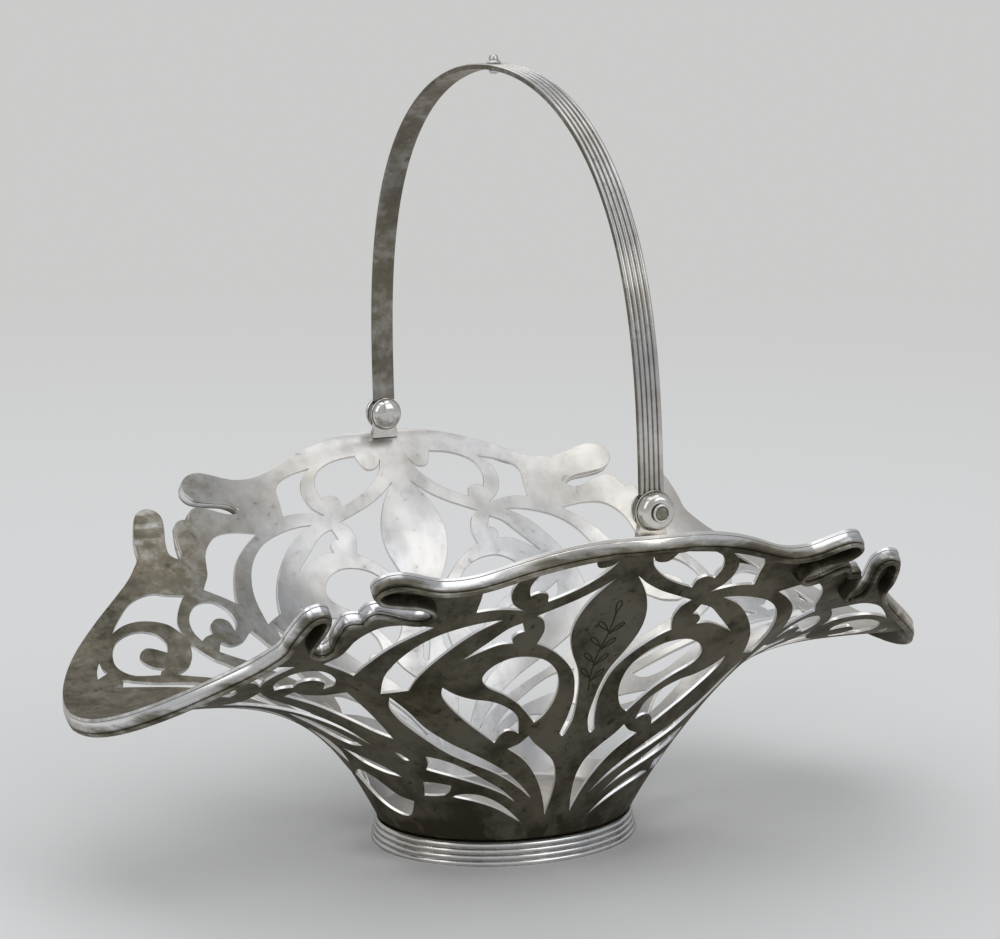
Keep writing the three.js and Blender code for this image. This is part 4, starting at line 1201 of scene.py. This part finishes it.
def build_floor():
    """A pale floor that looks evenly pale far off, to the camera and in reflections."""
    reach = FLOOR_REACH / MM
    corners = [(-reach, -reach, 0), (reach, -reach, 0), (reach, reach, 0), (-reach, reach, 0)]
    floor = make_object("floor", corners, [(0, 1, 2, 3)])
    shading = Shading(bpy.data.materials.new("pale_floor"))
    pale = shading.nodes["Principled BSDF"]
    shading.feed(pale, {"Base Color": FLOOR_COLOUR, "Roughness": 0.95, "Specular IOR Level": 0.1})
    distance = shading.node("VectorMath", {0: shading.place}, operation="LENGTH")
    far = shading.spread(distance.outputs["Value"], NEAR_FLOOR_END, FAR_FLOOR_START)
    path = shading.node("LightPath", {})
    seen = shading.maths("MAXIMUM", path.outputs["Is Camera Ray"], path.outputs["Is Glossy Ray"])
    glow = shading.node("Emission", {"Color": FAR_FLOOR_COLOUR})
    shading.mix_shaders(shading.maths("MULTIPLY", far, seen), pale, glow)
    floor.data.materials.append(shading.owner)


def build_world():
    """Dim studio walls for the lighting, and a pale backdrop for the camera."""
    world = bpy.data.worlds.new("studio")
    bpy.context.scene.world = world
    shading = Shading(world)
    walls = shading.nodes["Background"]
    shading.feed(walls, {"Color": STUDIO_COLOUR})
    backdrop = shading.node("Background", {"Color": FAR_FLOOR_COLOUR})
    to_camera = shading.node("LightPath", {}).outputs["Is Camera Ray"]
    shading.mix_shaders(to_camera, walls, backdrop)


def area_light(name, location, target, size, brightness):
    """A softbox of the given size in metres, and of the given brightness over its face."""
    data = bpy.data.lights.new(name, "AREA")
    data.shape = "RECTANGLE"
    data.size, data.size_y = size
    data.energy = brightness * math.pi * size[0] * size[1]
    light = add_object(name, data)
    light.location = location
    direction = Vector(target) - Vector(location)
    light.rotation_euler = direction.to_track_quat("-Z", "Y").to_euler()


def build_camera():
    tilt = math.radians(90 - CAMERA_ELEVATION)
    turn = Euler((tilt, 0, math.radians(CAMERA_AZIMUTH))).to_matrix().to_4x4()
    place = Vector((CAMERA_ACROSS, CAMERA_UP, CAMERA_DISTANCE)) * MM
    data = bpy.data.cameras.new("camera")
    data.sensor_fit = "HORIZONTAL"
    data.sensor_width = SENSOR_WIDTH
    data.lens = FOCAL_PER_FRAME_WIDTH * SENSOR_WIDTH
    data.clip_start, data.clip_end = CAMERA_CLIP
    camera = add_object("camera", data)
    camera.matrix_world = turn @ Matrix.Translation(place)
    bpy.context.scene.camera = camera


build_camera()
build_floor()
build_world()
for softbox in SOFTBOXES:
    area_light(*softbox)
bpy.context.scene.view_settings.view_transform = "Standard"

moulding_silver = moulded_silver("moulding_silver", low=0.03, high=0.66, darkening_strength=0.85,
                                 roughness=0.16, stretch=ALONG_THE_RIM)
foot_silver = moulded_silver("foot_silver", low=0.0, high=0.1, darkening_strength=0.8, roughness=0.14)
engraved_line = moulded_silver("engraved_line", low=0.6, high=0.8, darkening_strength=0.6, roughness=0.5)
fitting_silver = moulded_silver("fitting_silver", low=0.0, high=0.2, darkening_strength=0.8, roughness=0.14)
handle_silver = moulded_silver("handle_silver", low=0.1, high=0.32, darkening_strength=0.9, roughness=0.18)

build_bowl(sheet_silver())
build_rim(moulding_silver)
build_foot(foot_silver)
build_engraving(engraved_line)
build_hinges(fitting_silver)
build_handle(handle_silver, fitting_silver)
for side in ("back", "front"):
    ear = frame["nodes"][f"hinge_ear_{side}"]
    ear.data.materials.clear()
    ear.data.materials.append(fitting_silver)
